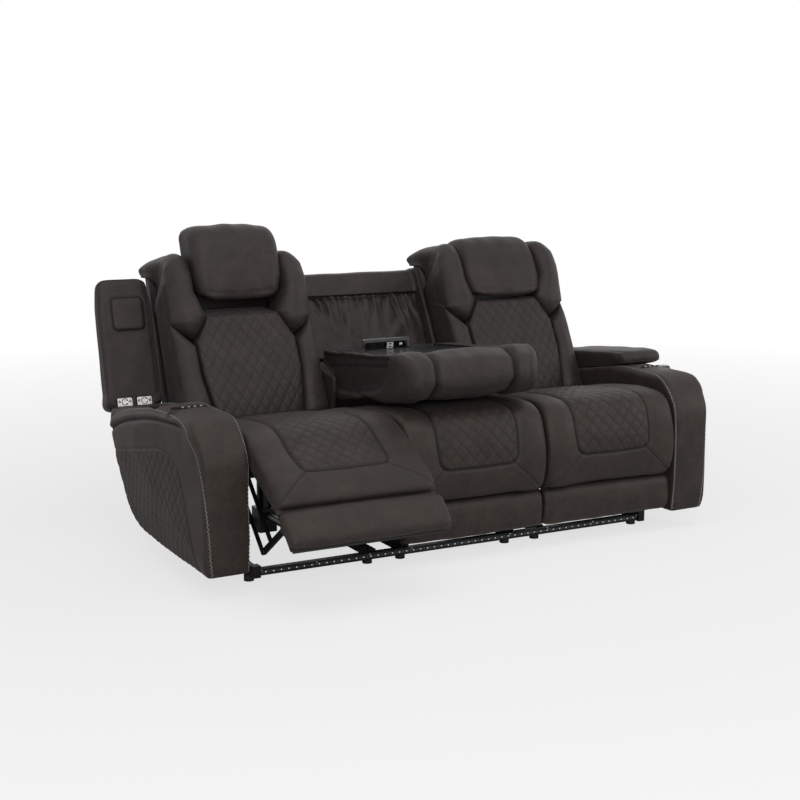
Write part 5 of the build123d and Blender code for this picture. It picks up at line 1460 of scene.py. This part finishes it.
def area_lamp(name, place, aim, size, power):
    """A rectangular lamp that faces a place."""
    data = bpy.data.lights.new(name, "AREA")
    data.shape = "RECTANGLE"
    data.size, data.size_y = size
    data.energy = power
    lamp = bpy.data.objects.new(name, data)
    lamp.location = place
    lamp.rotation_euler = (Vector(aim) - Vector(place)).to_track_quat("-Z", "Y").to_euler()
    bpy.context.scene.collection.objects.link(lamp)


def pale_floor(settings):
    """A wide matte floor that whitens away from the sofa, in the camera's view alone."""
    bpy.ops.mesh.primitive_plane_add(size=60, location=(0, 10, -0.0005))
    floor = bpy.context.object
    floor.name = "floor"
    finish = Finish("floor_pale")
    tone = finish.blend(finish.noise(30.0, 2.0) * 0.1, tuple(settings.floor), (0.86, 0.86, 0.86))
    finish.surface(base_color=tone, roughness=0.9)
    seen = finish.node("ShaderNodeLightPath", out="Is Camera Ray")
    place = finish.node("ShaderNodeNewGeometry")
    far = finish.node("ShaderNodeVectorMath", {"operation": "LENGTH"}, {0: place}, out=1)
    away = finish.between(far, 1.6, 6.0)
    shader = Value(finish, finish.shader.outputs[0])
    glow = finish.node("ShaderNodeEmission", None, {1: 1.0})
    finish.shown(finish.node("ShaderNodeMixShader", None, {0: seen * (away * 0.3 + 0.7), 1: shader, 2: glow}))
    floor.data.materials.append(finish.material)


def surroundings():
    """A world that looks white and lights the sofa softly."""
    world = bpy.data.worlds.new("surroundings")
    bpy.context.scene.world = world
    graph = Graph(world, "ShaderNodeOutputWorld")
    camera, glossy, through_glass = (graph.node("ShaderNodeLightPath", out=f"Is {kind} Ray")
                                     for kind in ("Camera", "Glossy", "Transmission"))
    sky = graph.node("ShaderNodeBackground", None, {0: (0.97, 0.98, 1.0), 1: 0.25})
    white = graph.node("ShaderNodeBackground", None, {0: (1, 1, 1)})
    seen = camera.either(glossy).either(through_glass)
    graph.shown(graph.node("ShaderNodeMixShader", None, {0: seen, 1: sky, 2: white}))


class SOFA_OT_stage(Operator):
    """Makes the pale floor, the white surroundings, the soft lamps and the camera"""
    bl_idname = "sofa.stage"
    bl_label = "Stage"

    def execute(self, context):
        settings = context.scene.sofa_stage
        pale_floor(settings)
        surroundings()
        area_lamp("overhead", (-0.6, -1.8, 4.2), (0, 0.0, 0.5), (4.5, 3.0), settings.key)
        area_lamp("front", (-2.4, -5.8, 2.6), (-0.2, 0.0, 0.5), (3.0, 2.4), settings.fill * 1.15)
        area_lamp("right", (4.2, -2.6, 2.2), (0.3, 0.0, 0.6), (2.4, 2.0), settings.fill * 0.4)
        data = bpy.data.cameras.new("camera")
        data.lens, data.sensor_width = LENS, SENSOR
        camera = bpy.data.objects.new("camera", data)
        camera.location = metres([CAMERA])[0]
        camera.rotation_euler = Euler((math.radians(CAMERA_TILT), 0, math.radians(CAMERA_TURN)))
        context.scene.collection.objects.link(camera)
        context.scene.camera = camera
        context.scene.view_settings.view_transform = "Standard"
        return {"FINISHED"}


# ------------------------------------------------------------------ add-on
STEPS = ("stage", "seats", "footrests", "backs", "headrests", "arms", "lids", "console", "recess", "controls",
         "base")
GROUPS = {"sofa_leather": SofaLeather, "sofa_quilting": SofaQuilting, "sofa_trim": SofaTrim,
          "sofa_stage": SofaStage}


class SOFA_PT_dresser(Panel):
    """Lists the steps and the settings"""
    bl_idname = "SOFA_PT_dresser"
    bl_label = "Sofa"
    bl_space_type = "VIEW_3D"
    bl_region_type = "UI"
    bl_category = "Sofa"

    def draw(self, context):
        for step in STEPS:
            self.layout.operator(f"sofa.{step}")
        for name, kind in GROUPS.items():
            box = self.layout.box()
            for setting in kind.__annotations__:
                box.prop(getattr(context.scene, name), setting)


CLASSES = (*GROUPS.values(), SOFA_OT_stage, SOFA_OT_seats, SOFA_OT_footrests, SOFA_OT_backs,
           SOFA_OT_headrests, SOFA_OT_arms, SOFA_OT_lids, SOFA_OT_console, SOFA_OT_recess, SOFA_OT_controls,
           SOFA_OT_base, SOFA_PT_dresser)


def register():
    for kind in CLASSES:
        bpy.utils.register_class(kind)
    for name, kind in GROUPS.items():
        setattr(bpy.types.Scene, name, PointerProperty(type=kind))


def unregister():
    for name in GROUPS:
        delattr(bpy.types.Scene, name)
    for kind in reversed(CLASSES):
        bpy.utils.unregister_class(kind)


def main():
    register()
    for step in STEPS:
        getattr(bpy.ops.sofa, step)()


if __name__ == "__main__":
    main()
